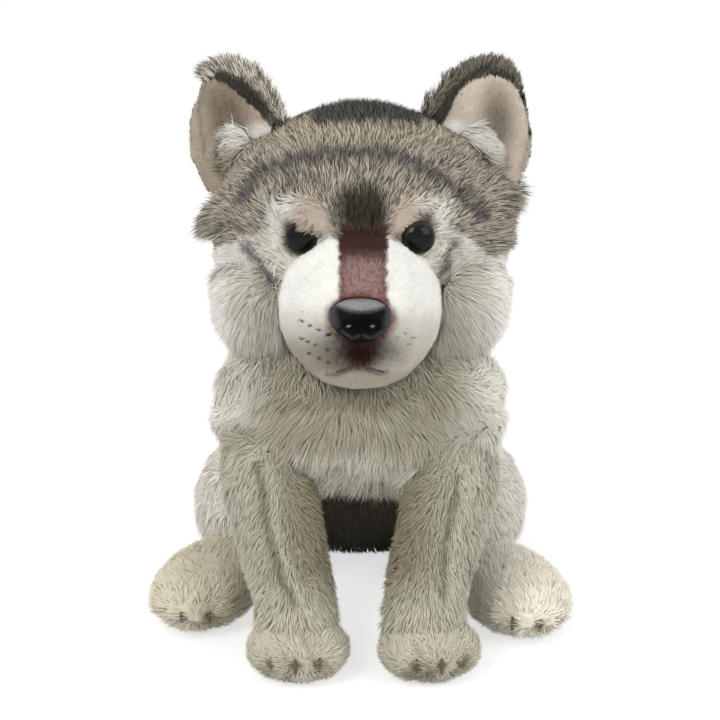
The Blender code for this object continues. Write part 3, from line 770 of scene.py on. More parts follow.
@dataclass
class Panel:
    """A stuffed panel: its skin, and the pile that grows from it."""

    node: str
    name: str
    fabric: PileFabric
    strands: int
    coat: CoatRule
    slot: str
    inset: float = 3.0
    voxel: float = 3.0
    smoothing: int = 3
    fill: float = 0.8
    kind: Strand = Strand.BENT
    clump: float = 0.35
    clump_size: int = 9
    wander: float = 0.55
    droop: float = 0.25
    bald: Callable[[np.ndarray], np.ndarray] | None = None
    swell: Callable[[np.ndarray], np.ndarray] | None = None
    bury: float = 2.5
    own_share: float = 0.6
    seed: int = 1

    def skin(self, body: Stuffing) -> tuple[np.ndarray, np.ndarray, np.ndarray]:
        """Lays the backing cloth a little inside the panel's solid.

        Args:
            body: The whole stuffed form.

        Returns:
            The skin's points in mm, its triangles and its outward directions.
        """
        mesh = panel_mesh([self.node], self.voxel, self.smoothing)
        mesh.calc_loop_triangles()
        points = points_of(mesh)
        normals = np.empty(points.size)
        mesh.vertex_normals.foreach_get("vector", normals)
        corners = np.empty(len(mesh.loop_triangles) * 3, np.int32)
        mesh.loop_triangles.foreach_get("vertices", corners)
        bpy.data.meshes.remove(mesh)
        normals = normals.reshape(-1, 3)
        depth, _ = body.measure(points)
        shown = soft_step(depth, COVERED_DEPTH, OPEN_DEPTH)
        inset = self.inset * (SEAM_INSET + (1 - SEAM_INSET) * shown)
        points = points - normals * inset[:, None]
        if self.swell is not None:
            points = points + normals * self.swell(points)[:, None]
        return points, corners.reshape(-1, 3), normals

    def roots(
        self, skin: tuple[np.ndarray, np.ndarray, np.ndarray], body: Stuffing
    ) -> tuple[np.ndarray, np.ndarray]:
        """Scatters the strands' roots over the part of the skin that shows.

        Args:
            skin: Points, triangles and directions of the skin.
            body: The whole stuffed form.

        Returns:
            The roots and the direction that each stands in.
        """
        points, faces, normals = skin
        rng = np.random.default_rng(self.seed)
        a, b, c = (points[faces[:, i]] for i in range(3))
        areas = np.linalg.norm(np.cross(b - a, c - a), axis=1)
        middle_depth, _ = body.measure((a + b + c) / 3)
        areas = areas * (middle_depth < self.inset + self.bury)
        picked = rng.choice(len(faces), size=self.strands, p=areas / areas.sum())
        s, t = rng.random(self.strands), rng.random(self.strands)
        flip = s + t > 1
        s[flip], t[flip] = 1 - s[flip], 1 - t[flip]
        f = faces[picked]
        w = np.stack([1 - s - t, s, t], axis=1)[:, :, None]
        root = (points[f] * w).sum(1)
        own = unit((normals[f] * w).sum(1))
        _, outward = body.measure(root)
        stand = unit(own * self.own_share + outward * (1 - self.own_share))
        # Nothing grows down in a fold, where the cloth faces away from the form's outside.
        keep = (own * outward).sum(1) > FOLD_LIMIT
        if self.bald is not None:
            keep &= ~self.bald(root)
        return root[keep], stand[keep]

    def spines(
        self, root: np.ndarray, stand: np.ndarray, coat: Coat, rng: np.random.Generator
    ) -> tuple[np.ndarray, np.ndarray]:
        """Bends each strand along the lie of the pile and gathers strands into locks.

        Args:
            root: The roots.
            stand: The direction that each stands in.
            coat: What each takes from its place.
            rng: The draws that set strands apart.

        Returns:
            The middles and the tips of the strands.
        """
        count = len(root)
        drift = waves(root, *BROAD_WAVES) + 0.5 * waves(root, *FINE_WAVES)
        lie = coat.comb + self.wander * drift
        lie = lie + STRAY * rng.normal(size=(count, 3))
        lie = unit(lie - stand * (lie * stand).sum(1)[:, None])
        lift = np.clip(coat.lift + rng.normal(0, LIFT_SPREAD, count), *LIFT_RANGE)
        length = coat.length * rng.uniform(*LENGTH_RANGE, count)
        first = stand * np.sin(lift)[:, None] + lie * np.cos(lift)[:, None]
        low = lift * TIP_LIFT
        second = stand * np.sin(low)[:, None] + lie * np.cos(low)[:, None]
        second[:, 2] -= self.droop
        second = unit(second)
        middle = root + first * (length * 0.5)[:, None]
        tip = middle + second * (length * 0.5)[:, None]
        if self.clump > 0 and self.kind is Strand.BENT:
            locks = max(count // self.clump_size, 1)
            tree = KDTree(locks)
            for i, place in enumerate(root[:locks].tolist()):
                tree.insert(place, i)
            tree.balance()
            find = tree.find
            mine = np.fromiter((find(p)[1] for p in root.tolist()), int, count)
            pull = self.clump * rng.uniform(*PULL_RANGE, count)[:, None]
            tip = tip + (tip[mine] - tip) * pull
            middle = middle + (middle[mine] - middle) * pull * MIDDLE_PULL
        return middle, tip

    def build(self, body: Stuffing) -> bpy.types.Object:
        """Makes the panel's mesh: the skin and every strand, with what its material reads.

        Args:
            body: The whole stuffed form.

        Returns:
            The new piece.
        """
        skin = self.skin(body)
        root, stand = self.roots(skin, body)
        rng = np.random.default_rng(self.seed + STRAND_SEEDS)
        coat = self.coat(root, stand)
        middle, tip = self.spines(root, stand, coat, rng)
        across = unit(np.cross(tip - root, stand) + TWIST * rng.normal(size=root.shape))
        width = self.fabric.strand_width * rng.uniform(*WIDTH_RANGE, len(root))
        half = across * (width / 2)[:, None]
        base = root - stand * ROOT_DEPTH
        count = len(root)
        if self.kind is Strand.BENT:
            rows = [base, middle + half, middle - half, tip]
        else:
            rows = [base - half, base + half, tip]
        heights, corners, cell = (np.array(part) for part in self.kind.value)
        per, under_count = len(rows), len(skin[0])
        pile = np.stack(rows, axis=1).reshape(-1, 3)
        faces = (np.arange(count)[:, None, None] * per + corners).reshape(-1, 3)
        points = np.concatenate([skin[0], pile])
        points[:, 2] = np.maximum(points[:, 2], 0.0)
        triangles = np.concatenate([skin[1], faces + under_count])
        piece = mesh_piece(self.name, points * MM, triangles)
        mesh = piece.data
        under = self.coat(skin[0], skin[2])
        seen = self.coat(middle * 0.5 + tip * 0.5, stand)
        dye_and_shade = np.concatenate([under.dye_and_shade, np.repeat(seen.dye_and_shade, per, 0)])
        put(mesh, "dye_and_shade", "FLOAT_COLOR", np.concatenate([dye_and_shade, np.ones((len(dye_and_shade), 1))], axis=1))
        for name, cloth, pile_values in (
            ("grizzle", under.grizzle, np.repeat(seen.grizzle, per)),
            ("strand", np.full(under_count, SKIN_STRAND), np.repeat(rng.random(count), per)),
            ("height", np.full(under_count, SKIN_HEIGHT), np.tile(heights, count)),
        ):
            put(mesh, name, "FLOAT", np.concatenate([cloth, pile_values]))
        self.lay_map(mesh, len(skin[1]), count, cell[corners.ravel()])
        # Pile shades as the form under it does, with each strand a little apart.
        toward = np.concatenate([skin[2], np.repeat(stand, per, 0)])
        toward[under_count:] += rng.normal(0, self.fabric.apart, size=(count, 3)).repeat(per, 0)
        mesh.normals_split_custom_set_from_vertices(unit(toward).tolist())
        mesh.materials.append(self.fabric.material())
        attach(piece, BODY)
        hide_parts(self.node)
        log.info("%s: %d strands, %d triangles", self.name, count, len(triangles))
        return piece

    def lay_map(
        self, mesh: bpy.types.Mesh, skin_faces: int, strands: int, cell: np.ndarray
    ) -> None:
        """Gives every strand and every face of the skin its own cell of a square map.

        Args:
            mesh: The panel's mesh.
            skin_faces: How many triangles the skin has.
            strands: How many strands there are.
            cell: A strand's corners within its cell.
        """
        side = math.ceil(math.sqrt(skin_faces + strands))
        number = np.arange(skin_faces + strands)
        corner = np.stack([number % side, number // side], axis=1)
        flat = np.array([[0.1, 0.1], [0.9, 0.1], [0.5, 0.9]])
        low = (corner[:skin_faces, None, :] + flat).reshape(-1, 2)
        high = (corner[skin_faces:, None, :] + cell).reshape(-1, 2)
        layer = mesh.uv_layers.new(name=BAKE_MAP)
        layer.uv.foreach_set("vector", (np.concatenate([low, high]) / side).ravel())


def mesh_piece(name: str, points: np.ndarray, triangles: np.ndarray) -> bpy.types.Object:
    """Makes an object of triangles.

    Args:
        name: The piece's name.
        points: Its points, in metres.
        triangles: Its faces.

    Returns:
        The object, at the origin.
    """
    mesh = bpy.data.meshes.new(name)
    mesh.vertices.add(len(points))
    mesh.vertices.foreach_set("co", points.ravel())
    mesh.loops.add(triangles.size)
    mesh.loops.foreach_set("vertex_index", triangles.ravel().astype(np.int32))
    mesh.polygons.add(len(triangles))
    mesh.polygons.foreach_set("loop_start", np.arange(0, triangles.size, 3, dtype=np.int32))
    mesh.update(calc_edges=True)
    mesh.polygons.foreach_set("use_smooth", np.ones(len(triangles), bool))
    return place_mesh(name, mesh)


def put(mesh: bpy.types.Mesh, name: str, kind: str, values: np.ndarray) -> None:
    """Stores a value for each point.

    Args:
        mesh: The mesh.
        name: The attribute's name.
        kind: The attribute's type.
        values: The values.
    """
    attribute = mesh.attributes.new(name, kind, "POINT")
    key = "color" if kind == "FLOAT_COLOR" else "value"
    attribute.data.foreach_set(key, values.astype(np.float32).ravel())


# ------------------------------------------------------------------ head

# In the marks and the coats, x, y and z are places on the wolf in mm, and u and v are the
# column and the row where the viewer sees them. A soft_step says where a dye or a length
# begins and where it is full.

EYES = {"left": (26.4, 204.5), "right": (-26.4, 204.5)}
EYE_FREE_RADIUS = 6.8
FACE_DEPTH = -70.0
FAR_AWAY = 1000.0
HEAD_BANDS = (
    Line(
        "#544c52", 0.8,
        ((238, 200), (257, 174), (292, 158), (330, 151), (367, 152), (403, 157), (438, 173),
         (468, 197), (486, 216)),
        12, 6,
    ),
    Line("#5f5857", 0.45, ((262, 214), (282, 190), (312, 176)), 8, 6),
)
EYE_LINES = tuple(
    Line("#453c38", 0.85, path, 9, 6)
    for path in (((246, 244), (258, 264), (272, 284)), ((456, 244), (446, 266), (434, 286)))
)
# The pale patch round each eye: its turn, its upper lobe and its lower one.
EYE_PATCHES = ((-25, (297, 222), (281, 252)), (25, (421, 222), (436, 252)))
# Round each eye: a dark brown ring, partly liner and partly painted shade in the socket; then beige
# and pale patches over the eye, and small dark marks beside it.
EYE_MARKS_AND_SOCKET_SHADE = (
    Oval("#3f3129", 0.9, (300, 238), (19, 18.5), 0, 0.2),
    Oval("#3f3129", 0.9, (414, 237), (19, 18.5), 0, 0.2),
    Oval("#bfb1a1", 0.9, (309, 214), (17, 22), 0, 0.5),
    Oval("#e6e3da", 0.8, (274, 212), (13, 17), 0, 0.6),
    Oval("#bfb0a0", 1.0, (311, 224), (19, 9.5), 42, 0.25),
    Oval("#bfb1a1", 0.9, (404, 214), (17, 22), 0, 0.5),
    Oval("#e6e3da", 0.8, (446, 214), (13, 17), 0, 0.6),
    Oval("#bfb0a0", 1.0, (403, 223), (19, 9.5), -42, 0.25),
    Oval("#4a3830", 0.85, (427, 223), (8, 10), 0, 0.7),
    Oval("#4a3830", 0.85, (287, 232), (5, 11), 0, 0.7),
)
# The row at which the lower face's white begins, by column, on each side of the muzzle.
WHITE_EDGES = (
    ([180, 215, 248, 285, 300], [252, 246, 236, 232, 232]),
    ([425, 468, 492, 508, 540], [232, 236, 256, 252, 248]),
)
MUZZLE_COLUMN = 363.0


def eye_distance(points: np.ndarray) -> np.ndarray:
    """Finds how far each point lies from the nearer eye's axis, in mm."""
    gaps = [np.hypot(points[:, 0] - x, points[:, 2] - z) for x, z in EYES.values()]
    return np.minimum(*gaps) + FAR_AWAY * (points[:, 1] > FACE_DEPTH)


def under_eye(points: np.ndarray) -> np.ndarray:
    """Tells whether a root would come up under an eye."""
    return eye_distance(points) < EYE_FREE_RADIUS


def face_front(y: np.ndarray) -> np.ndarray:
    """Gives 1 on the head's front and 0 behind it."""
    return soft_step(y, -62, -72)


def face_dye_and_shade(points: np.ndarray) -> tuple[np.ndarray, np.ndarray]:
    """Gives the airbrushed and pieced colours of the head's front, and its grizzle.

    The ruff and the eye sockets are painted darker in places as shade.

    Args:
        points: Places, in mm.

    Returns:
        The dye and the grizzle at each.
    """
    uv = front_view(points)
    rough = uv + 3.5 * waves(points, 6, 5)[:, :2]
    u, v = uv.T
    x, y, z = points.T
    front = face_front(y)
    # The cap between the ears and the stripe down the back of the head.
    cap = soft_step(y, -66, -56) * soft_step(np.abs(x), 46, 34)
    brow_cap = soft_step(rough[:, 1], 125, 119) * soft_step(np.abs(u - 374), 70, 58)
    cap = np.maximum(cap, brow_cap)
    dye_and_shade = paint(dyed(points, "#bcb4a3"), "#5c5b57", cap)
    dye_and_shade = paint(dye_and_shade, "#7d776b", soft_step(y, -50, -35) * (1 - cap) * 0.8)
    dye_and_shade = paint(dye_and_shade, "#c3b8a2", soft_step(np.abs(v - 130), 14, 5) * front * (1 - cap))
    dye_and_shade = airbrush(dye_and_shade, rough, HEAD_BANDS, front)
    brow = np.maximum(
        spot(rough, (364, 212), (29, 30), 0, 0.5), spot(rough, (364, 232), (26, 16), 0, 0.4)
    )
    dye_and_shade = paint(dye_and_shade, "#464239", brow * front)
    # The pieced white of the lower face, with its edge on the sides.
    left, right = (np.interp(u, *edge) for edge in WHITE_EDGES)
    edge = np.where(u > 362, right, left) + 3 * waves(points, 7, 9)[:, 0]
    white = soft_step(v, edge - 3, edge + 4) * front
    white = white + soft_step(z, 186, 176) * soft_step(y, 2, -22) * (1 - front)
    dye_and_shade = paint(dye_and_shade, "#e9e7e0", white)
    grizzle = 0.78 * (1 - white)
    # The ruff is painted darker beside the muzzle and in a fold, as shade,
    # and shows pale at its outer tips.
    off = np.abs(u - 360)
    shaded = soft_step(off, 145, 118) * soft_step(v, 246, 268) * front
    dye_and_shade = paint(dye_and_shade, "#c4c0b4", shaded * 0.9)
    # Painted shade in a fold of the ruff beside the muzzle.
    fold = soft_step(np.abs(off - 98), 16, 4) * soft_step(v, 262, 284)
    dye_and_shade = paint(dye_and_shade, "#b5b1a0", fold * front * 0.6)
    for turn, lobe, low in EYE_PATCHES:
        patch = spot(uv, lobe, (30, 31), turn, 0.14)
        patch = np.maximum(patch, spot(uv, low, (25, 30), turn, 0.2)) * front
        dye_and_shade = paint(dye_and_shade, "#cfcabf", patch)
        dye_and_shade = paint(dye_and_shade, "#ebe8dc", spot(uv, low, (20, 22), turn, 0.5) * front)
        grizzle = grizzle * (1 - patch)
    dye_and_shade = airbrush(dye_and_shade, rough, EYE_LINES, front)
    # The eye marks, with the ring of liner and painted socket shade.
    dye_and_shade = airbrush(dye_and_shade, uv, EYE_MARKS_AND_SOCKET_SHADE, front)
    bridge = soft_step(np.abs(rough[:, 0] - MUZZLE_COLUMN), 29, 23)
    bridge = bridge * soft_step(v, 219, 227) * front
    panels = soft_step(np.abs(u - MUZZLE_COLUMN), 50, 46) * soft_step(v, 238, 246) * front
    dye_and_shade = paint(paint(dye_and_shade, "#fbf9f3", panels), "#4f3b37", bridge)
    return dye_and_shade, grizzle * (1 - panels) * (1 - bridge)


def brow_fold(points: np.ndarray) -> np.ndarray:
    """Finds how far the brow's fold stands up over the inner upper corner of each eye.

    Args:
        points: Places, in mm.

    Returns:
        The rise at each, in mm.
    """
    x, y, z = points.T
    rise = np.zeros(len(points))
    for eye_x, eye_z in EYES.values():
        across, up = -math.copysign(1.0, eye_x) * (x - eye_x), z - eye_z
        inward = across * 0.65 + up * 0.76
        beside = across * 0.76 - up * 0.65
        full = 1.0 if eye_x < 0 else 0.6
        rise += full * np.exp(-(((inward - 8.8) / 3.6) ** 2) - (beside / 9.0) ** 2)
    return 9.0 * rise * face_front(y)


def crown_coat(points: np.ndarray, normals: np.ndarray) -> Coat:
    """Gives the head's pile: short by the eyes and bridge, long at the temples.

    Args:
        points: Places, in mm.
        normals: Not used.

    Returns:
        The coat.
    """
    x, y, z = points.T
    dye_and_shade, grizzle = face_dye_and_shade(points)
    front = face_front(y)
    near = soft_step(eye_distance(points), 34, 10) * front
    bridge = soft_step(np.abs(x), 26, 20) * soft_step(z, 212, 200) * front
    # A tuft stands out at each temple, higher on one side, over the flatter pile of the cheek.
    low, high = np.where(x < 0, 201, 212), np.where(x < 0, 209, 226)
    temple = soft_step(np.abs(x), 52, 64) * soft_step(z, low - 4, low + 2)
    temple = temple * soft_step(z, high + 4, high - 2)
    flat = soft_step(np.abs(x), 56, 68) * (1 - temple) * soft_step(z, 206, 199)
    flat = flat * 0.4 * (x < 0)
    fluff = soft_step(x, 54, 64) * soft_step(z, 188, 194) * soft_step(z, 215, 208)
    seam = bridge * soft_step(z, 209, 204)
    length = 9.0 - 3.6 * near + 12.0 * temple + 6.0 * fluff
    length = length + 4.0 * soft_step(z, 244, 252) * soft_step(np.abs(x), 36, 24)
    length = length * (1 - bridge) + 2.4 * bridge + 3.6 * seam
    comb = away(points, (0, -150, 178)) + (0, 0.25, 0.2)
    outward = vectors(np.sign(x) * 1.3, 0, np.where(x < 0, -1.5, -0.4))
    comb = comb + outward * temple[:, None]
    for pull, share in (((0, 0.3, -1.2), flat), ((1.2, 0, -0.7), fluff), ((0, -1.6, -1.6), seam)):
        comb = comb + np.array(pull) * share[:, None]
    lift = 0.85 - 0.2 * near + 0.1 * temple - 0.3 * bridge - 0.45 * flat - 0.15 * seam
    # The brow's pile lies over the inner upper corner of each eye.
    for eye_x, eye_z in EYES.values():
        inward = np.array([-math.copysign(0.65, eye_x), 0.76])
        off = vectors(x - eye_x, z - eye_z)
        brow = soft_step(off @ inward, 1.0, 5.0) * soft_step(np.hypot(*off.T), 17, 12) * front
        comb = comb + brow[:, None] * np.array([-inward[0], -0.1, -inward[1]]) * 5.0
        length = length + brow * (np.where(x < 0, 6.4, 4.6) - length)
        lift = lift + brow * (0.24 - lift)
    return Coat(dye_and_shade, grizzle, length, comb, lift)


def cheek_coat(points: np.ndarray, normals: np.ndarray) -> Coat:
    """Gives the cheeks' long white pile, which sweeps out and down from the muzzle.

    Args:
        points: Places, in mm.
        normals: Not used.

    Returns:
        The coat.
    """
    low = soft_step(points[:, 2], 176, 156)
    comb = away(points, (0, -135, 186)) + (0, 0.3, -0.5)
    comb = comb + low[:, None] * np.array([0, 0, -1.0])
    outer = soft_step(np.abs(points[:, 0]), 36, 58)
    return Coat(*face_dye_and_shade(points), 11 + 4 * outer + 5 * low, comb, 0.68 - 0.2 * low)


@dataclass
class Head:
    """The head panel and the cheek ruffs."""

    crown_strands: int = 80000
    cheek_strands: int = 21000

    def panels(self) -> list[Panel]:
        """Lists the panels with their piles.

        Returns:
            The head, then its cheeks.
        """
        made = [
            Panel("head", "head_pile", GRIZZLED_PILE, self.crown_strands, crown_coat,
                  "grizzled_grey_pile", inset=3.6, bald=under_eye, swell=brow_fold,
                  droop=0.1, clump=0.4, seed=11)
        ]
        for i, side in enumerate(SIDES):
            made.append(
                Panel(f"cheek_{side}", f"cheek_{side}_pile", LONG_PILE, self.cheek_strands,
                      cheek_coat, "white_long_pile", inset=4.0, clump=0.32, clump_size=12,
                      wander=0.7, droop=0.3, seed=21 + i)
            )
        return made


# ------------------------------------------------------------------ muzzle


NOSE_HALF_WIDTH = 12.6
MOUTH_SHADES = tuple(
    Oval("#2c1716", share, centre, radii, 0, 0.6)
    for centre, radii, share in (
        ((334, 348), (18, 20), 0.42), ((386, 352), (17, 14), 0.55), ((344, 362), (14, 10), 0.4),
        ((361, 344), (26, 15), 0.85), ((361, 352), (19, 17), 1.0), ((361, 358), (13, 9), 1.0),
    )
)
LIPS = (
    Oval("#2c1b18", 0.9, (359.5, 366), (4, 3.4), 0, 0.5),
    Line("#57483a", 0.85, ((357, 364), (349, 371), (336, 376), (326, 375)), 2.4, 2.4),
    Line("#57483a", 0.85, ((360, 364), (368, 371), (379, 375), (388, 372)), 2.4, 2.4),
)
WHISKER_DASHES = (
    *(Oval("#33261f", 0.9, mark, (2.3, 1.3), 22, 0.5)
      for mark in ((301, 321), (309, 326), (318, 330), (300.5, 339), (307, 342), (315, 345.5),
                   (327, 350.5), (308.6, 354), (318.4, 359), (328, 363))),
    Oval("#241814", 1.0, (328, 335), (3.2, 2.1), -20, 0.4),
    *(Oval("#8d8178", 0.6, mark, (2.4, 1.3), -22, 0.5)
      for mark in ((406, 334), (398, 338), (409.5, 345), (398, 354), (414, 338))),
)


def muzzle_coat(points: np.ndarray, normals: np.ndarray) -> Coat:
    """Gives the muzzle's short white pile, with its airbrushed stripe, mouth and whisker marks.

    Its lower part and chin are painted darker as shade.

    Args:
        points: Places, in mm.
        normals: Not used.

    Returns:
        The coat.
    """
    uv = front_view(points)
    rough = uv + 1.5 * waves(points, 3, 13)[:, :2] + 1.5 * (mottle(points, 0.7)[:, None] - 0.5)
    u, v = uv.T
    fine = mottle(points, 0.9)
    # Painted shade: the muzzle darkens towards its lower part and chin, more at the left and middle
    # than at the right.
    dye_and_shade = paint(dyed(points, "#f8f7f1"), "#dcd9d0", soft_step(v, 300, 330))
    dye_and_shade = paint(dye_and_shade, "#ada697", soft_step(v, 324, 354) * soft_step(u, 400, 366))
    dye_and_shade = paint(dye_and_shade, "#c9c3b4", soft_step(v, 326, 360) * soft_step(u, 372, 410))
    dye_and_shade = paint(dye_and_shade, "#bfb8a6", soft_step(v, 369, 376))
    off = np.abs(rough[:, 0] - MUZZLE_COLUMN)
    half = np.interp(v, [232, 260, 296, 310], [26, 24, 25, 27])
    stripe = soft_step(off, half + 2, half - 3) * soft_step(v, 310, 300)
    dye_and_shade = paint(dye_and_shade, "#93706c", stripe * (0.85 + 0.15 * fine))
    dye_and_shade = paint(dye_and_shade, "#5f3a34", stripe * soft_step(off, 12, 24) * (0.35 + 0.5 * fine))
    dye_and_shade = paint(dye_and_shade, "#6b4a47", stripe * (fine > 0.72) * 0.45)
    dye_and_shade = paint(dye_and_shade, "#46302f", stripe * soft_step(rough[:, 1], 268, 246))
    halo = spot(rough, (361, 320), (36, 27), 0, 0.14)
    dye_and_shade = paint(dye_and_shade, "#7c4a3b", halo * (0.55 + 0.35 * fine))
    # The mouth is airbrushed from under the nose, and fades into brown streaks at both sides.
    dye_and_shade = airbrush(dye_and_shade, rough, MOUTH_SHADES, 0.72 + 0.28 * fine)
    dye_and_shade = airbrush(dye_and_shade, uv, LIPS + WHISKER_DASHES)
    return Coat(dye_and_shade, 0.0, 2.6, away(points, (0, -175, 176)) + (0, 0, -0.1), 0.7)


def chin_fullness(points: np.ndarray) -> np.ndarray:
    """Finds how far the stuffing pushes the chin out, in mm."""
    return 1.9 * soft_step(points[:, 2], 150, 140) * soft_step(points[:, 1], -112, -124)


def under_nose(points: np.ndarray) -> np.ndarray:
    """Tells whether a root would come up under the nose.

    Args:
        points: Places, in mm.

    Returns:
        True for each root that would.
    """
    x, y, z = points.T
    low, high = (corner.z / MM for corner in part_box("nose"))
    middle, half = (low + high) / 2, (high - low) / 2
    return (np.hypot(x / NOSE_HALF_WIDTH, (z - middle) / (half - 0.6)) < 1) & (y < -133)


@dataclass
class Muzzle:
    """The muzzle of short pile."""

    strands: int = 46000

    def panels(self) -> list[Panel]:
        """Lists the panel with its pile.

        Returns:
            The muzzle.
        """
        return [
            Panel("muzzle", "muzzle_pile", VELBOA, self.strands, muzzle_coat, "white_velour",
                  inset=0.6, voxel=1.6, kind=Strand.STUB, clump=0, wander=0.3, droop=0.0,
                  fill=0.95, bald=under_nose, swell=chin_fullness, seed=31)
        ]


# ------------------------------------------------------------------ ears


EAR_RIMS = tuple(
    Line("#2e2c28", 0.9, path, 8, 6)
    for path in (
        ((214, 78), (240, 86), (264, 106), (286, 134)),
        ((436, 132), (446, 108), (462, 82), (484, 68), (508, 74), (526, 104)),
    )
)
# The dark in each ear's hollow: partly airbrush and partly painted shade.
EAR_HOLLOWS = (
    Oval("#67604f", 0.85, (226, 116), (19, 36), -14, 0.75),
    Oval("#67604f", 0.85, (497, 122), (15, 34), 0, 0.75),
)
LINING_EDGES = (
    Line("#6a5d50", 0.6, ((204, 84), (198, 110), (204, 150)), 2.5, 4),
    Line("#6a5d50", 0.6, ((526, 86), (531, 130), (522, 170)), 2.5, 4),
    Oval("#e6e3dc", 1.0, (261, 134), (14, 11), 20, 0.5),
    Oval("#e6e3dc", 1.0, (456, 132), (15, 11), -20, 0.5),
)
# How far the back's pile comes over the lining: down to a row, by column, in the ear at the
# frame's left, and out to a column, by row, in the ear at its right.
OVER_AT_LEFT = ([190, 213, 222, 240, 258, 270, 282], [82, 79, 84, 97, 113, 127, 138])
OVER_AT_RIGHT = ([70, 74, 88, 116, 134], [482, 476, 461, 449, 436])


def ear_coat(points: np.ndarray, normals: np.ndarray) -> Coat:
    """Gives the ears' grizzled backs, darker along the rim, with a shaggy inner and upper edge.

    Args:
        points: Places, in mm.
        normals: Not used.

    Returns:
        The coat.
    """
    x, _, z = points.T
    dye_and_shade = paint(dyed(points, "#d6cebd"), "#7a7467", soft_step(x, 10, 40) * 0.85)
    dye_and_shade = airbrush(dye_and_shade, front_view(points), EAR_RIMS)
    # The outer edge is nearly bare, where the lining is turned over it.
    outer = soft_step(np.abs(x), 70, 79) * soft_step(z, 268, 258)
    root = soft_step(np.abs(x), 50, 40) * soft_step(z, 252, 238)
    comb = vectors(np.sign(x) * (0.2 - 0.9 * root), 0.45, 1.0 - 0.6 * root)
    # One ear's outer corner ends in a point of longer pile.
    corner = soft_step(x, -62, -70) * soft_step(z, 262, 270)
    comb = comb + np.array([-1.8, -0.3, -0.6]) * corner[:, None]
    length = (7.5 + 4.0 * root) * (1 - 0.7 * outer) + 4.5 * corner
    return Coat(dye_and_shade, 0.8 * (1 - 0.6 * outer), length, comb, 0.7)


def lining_coat(points: np.ndarray, normals: np.ndarray) -> Coat:
    """Gives the ears' beige short-pile lining, airbrushed darker in the hollow.

    The hollow's dark is partly painted shade, and the lining of the ear at the frame's left is
    painted darker as shade.

    Args:
        points: Places, in mm.
        normals: Not used.

    Returns:
        The coat.
    """
    x = points[:, 0]
    uv = front_view(points)
    # Painted shade: the lining of the ear at the frame's left is darker.
    dye_and_shade = paint(dyed(points, "#bcae9c"), "#d1c5b6", soft_step(x, -10, 10))
    # The hollows, partly airbrush and partly painted shade.
    dye_and_shade = airbrush(dye_and_shade, uv, EAR_HOLLOWS, 0.85 + 0.15 * mottle(points, 0.9))
    dye_and_shade = airbrush(dye_and_shade, uv, LINING_EDGES)
    # The grizzled pile of the ear's back comes over the lining's inner edge.
    u, v = (uv + 2 * waves(points, 3, 7)[:, :2]).T
    covered = soft_step(np.interp(u, *OVER_AT_LEFT) - v, 0, 3) * (x < 0)
    covered = covered + soft_step(np.interp(v, *OVER_AT_RIGHT) - u, 0, 3) * (x > 0)
    dye_and_shade = paint(dye_and_shade, "#4f4b43", covered)
    return Coat(dye_and_shade, 0.8 * covered, 2.0 + 4.0 * covered, (0, 0, 1), 0.8)


def tuft_coat(points: np.ndarray, normals: np.ndarray) -> Coat:
    """Gives the white tufts that spill out of the ears from their inner edges.

    Args:
        points: Places, in mm.
        normals: Not used.

    Returns:
        The coat.
    """
    x = points[:, 0]
    u, v = front_view(points).T
    # Below the tufts the grizzled pile of the head comes up into the ear.
    low = soft_step(v, 146, 156) * (x < 0) + soft_step(v, 176, 188) * (x > 0)
    dye_and_shade = paint(dyed(points, "#dddad2"), "#cfc7b5", low)
    dye_and_shade = paint(dye_and_shade, "#a89f8e", soft_step(u, 226, 216) + soft_step(u, 498, 508))
    comb = vectors(np.sign(x), -0.35, -0.1 - 0.3 * (x > 0))
    return Coat(dye_and_shade, 0.4 * low, 12.5, comb, 0.55)


@dataclass
class Ears:
    """Both ears: backs, linings and tufts."""

    back_strands: int = 11500
    lining_strands: int = 12500
    tuft_strands: int = 3600

    def panels(self) -> list[Panel]:
        """Lists the panels with their piles.

        Returns:
            Each ear's back, lining and tuft.
        """
        made = []
        for i, side in enumerate(SIDES):
            made += [
                Panel(f"ear_outer_{side}", f"ear_back_{side}_pile", GRIZZLED_PILE,
                      self.back_strands, ear_coat, "grizzled_grey_pile", inset=2.0, voxel=1.6,
                      bury=1.6, fill=0.5, droop=0.0, seed=41 + i),
                Panel(f"ear_lining_{side}", f"ear_lining_{side}_pile", LINING_PLUSH,
                      self.lining_strands, lining_coat, "beige_short_lining", inset=0.4,
                      voxel=1.2, kind=Strand.STUB, clump=0, fill=0.5, droop=0.0, seed=45 + i),
                Panel(f"ear_tuft_{side}", f"ear_tuft_{side}_pile", LONG_PILE,
                      self.tuft_strands, tuft_coat, "white_long_pile", inset=2.0, voxel=1.4,
                      clump=0.6, fill=0.4, seed=49 + i),
            ]
        return made


# ------------------------------------------------------------------ trunk, bib and tail


# How far back the spine's dark pile begins, by height, in mm.
BACK_PROFILE = ([20, 60, 100, 130, 160], [58, 52, 27, 2, -23])
# The bib's ruffles: a painted highlight along each ridge and painted shade below it.
BIB_RIDGES = (
    ((266, 401), (276, 410), (301, 420), (330, 417)),
    ((340, 414), (358, 423), (387, 426), (410, 411), (436, 396)),
)
# Painted shade where the bib meets the forelegs, deeper at the frame's left.
BIB_CORNER_SHADES = (
    Oval("#aaa491", 0.9, (234, 441), (30, 17), 0, 0.7),
    Oval("#c4c0b1", 0.9, (470, 440), (26, 18), 0, 0.7),
)


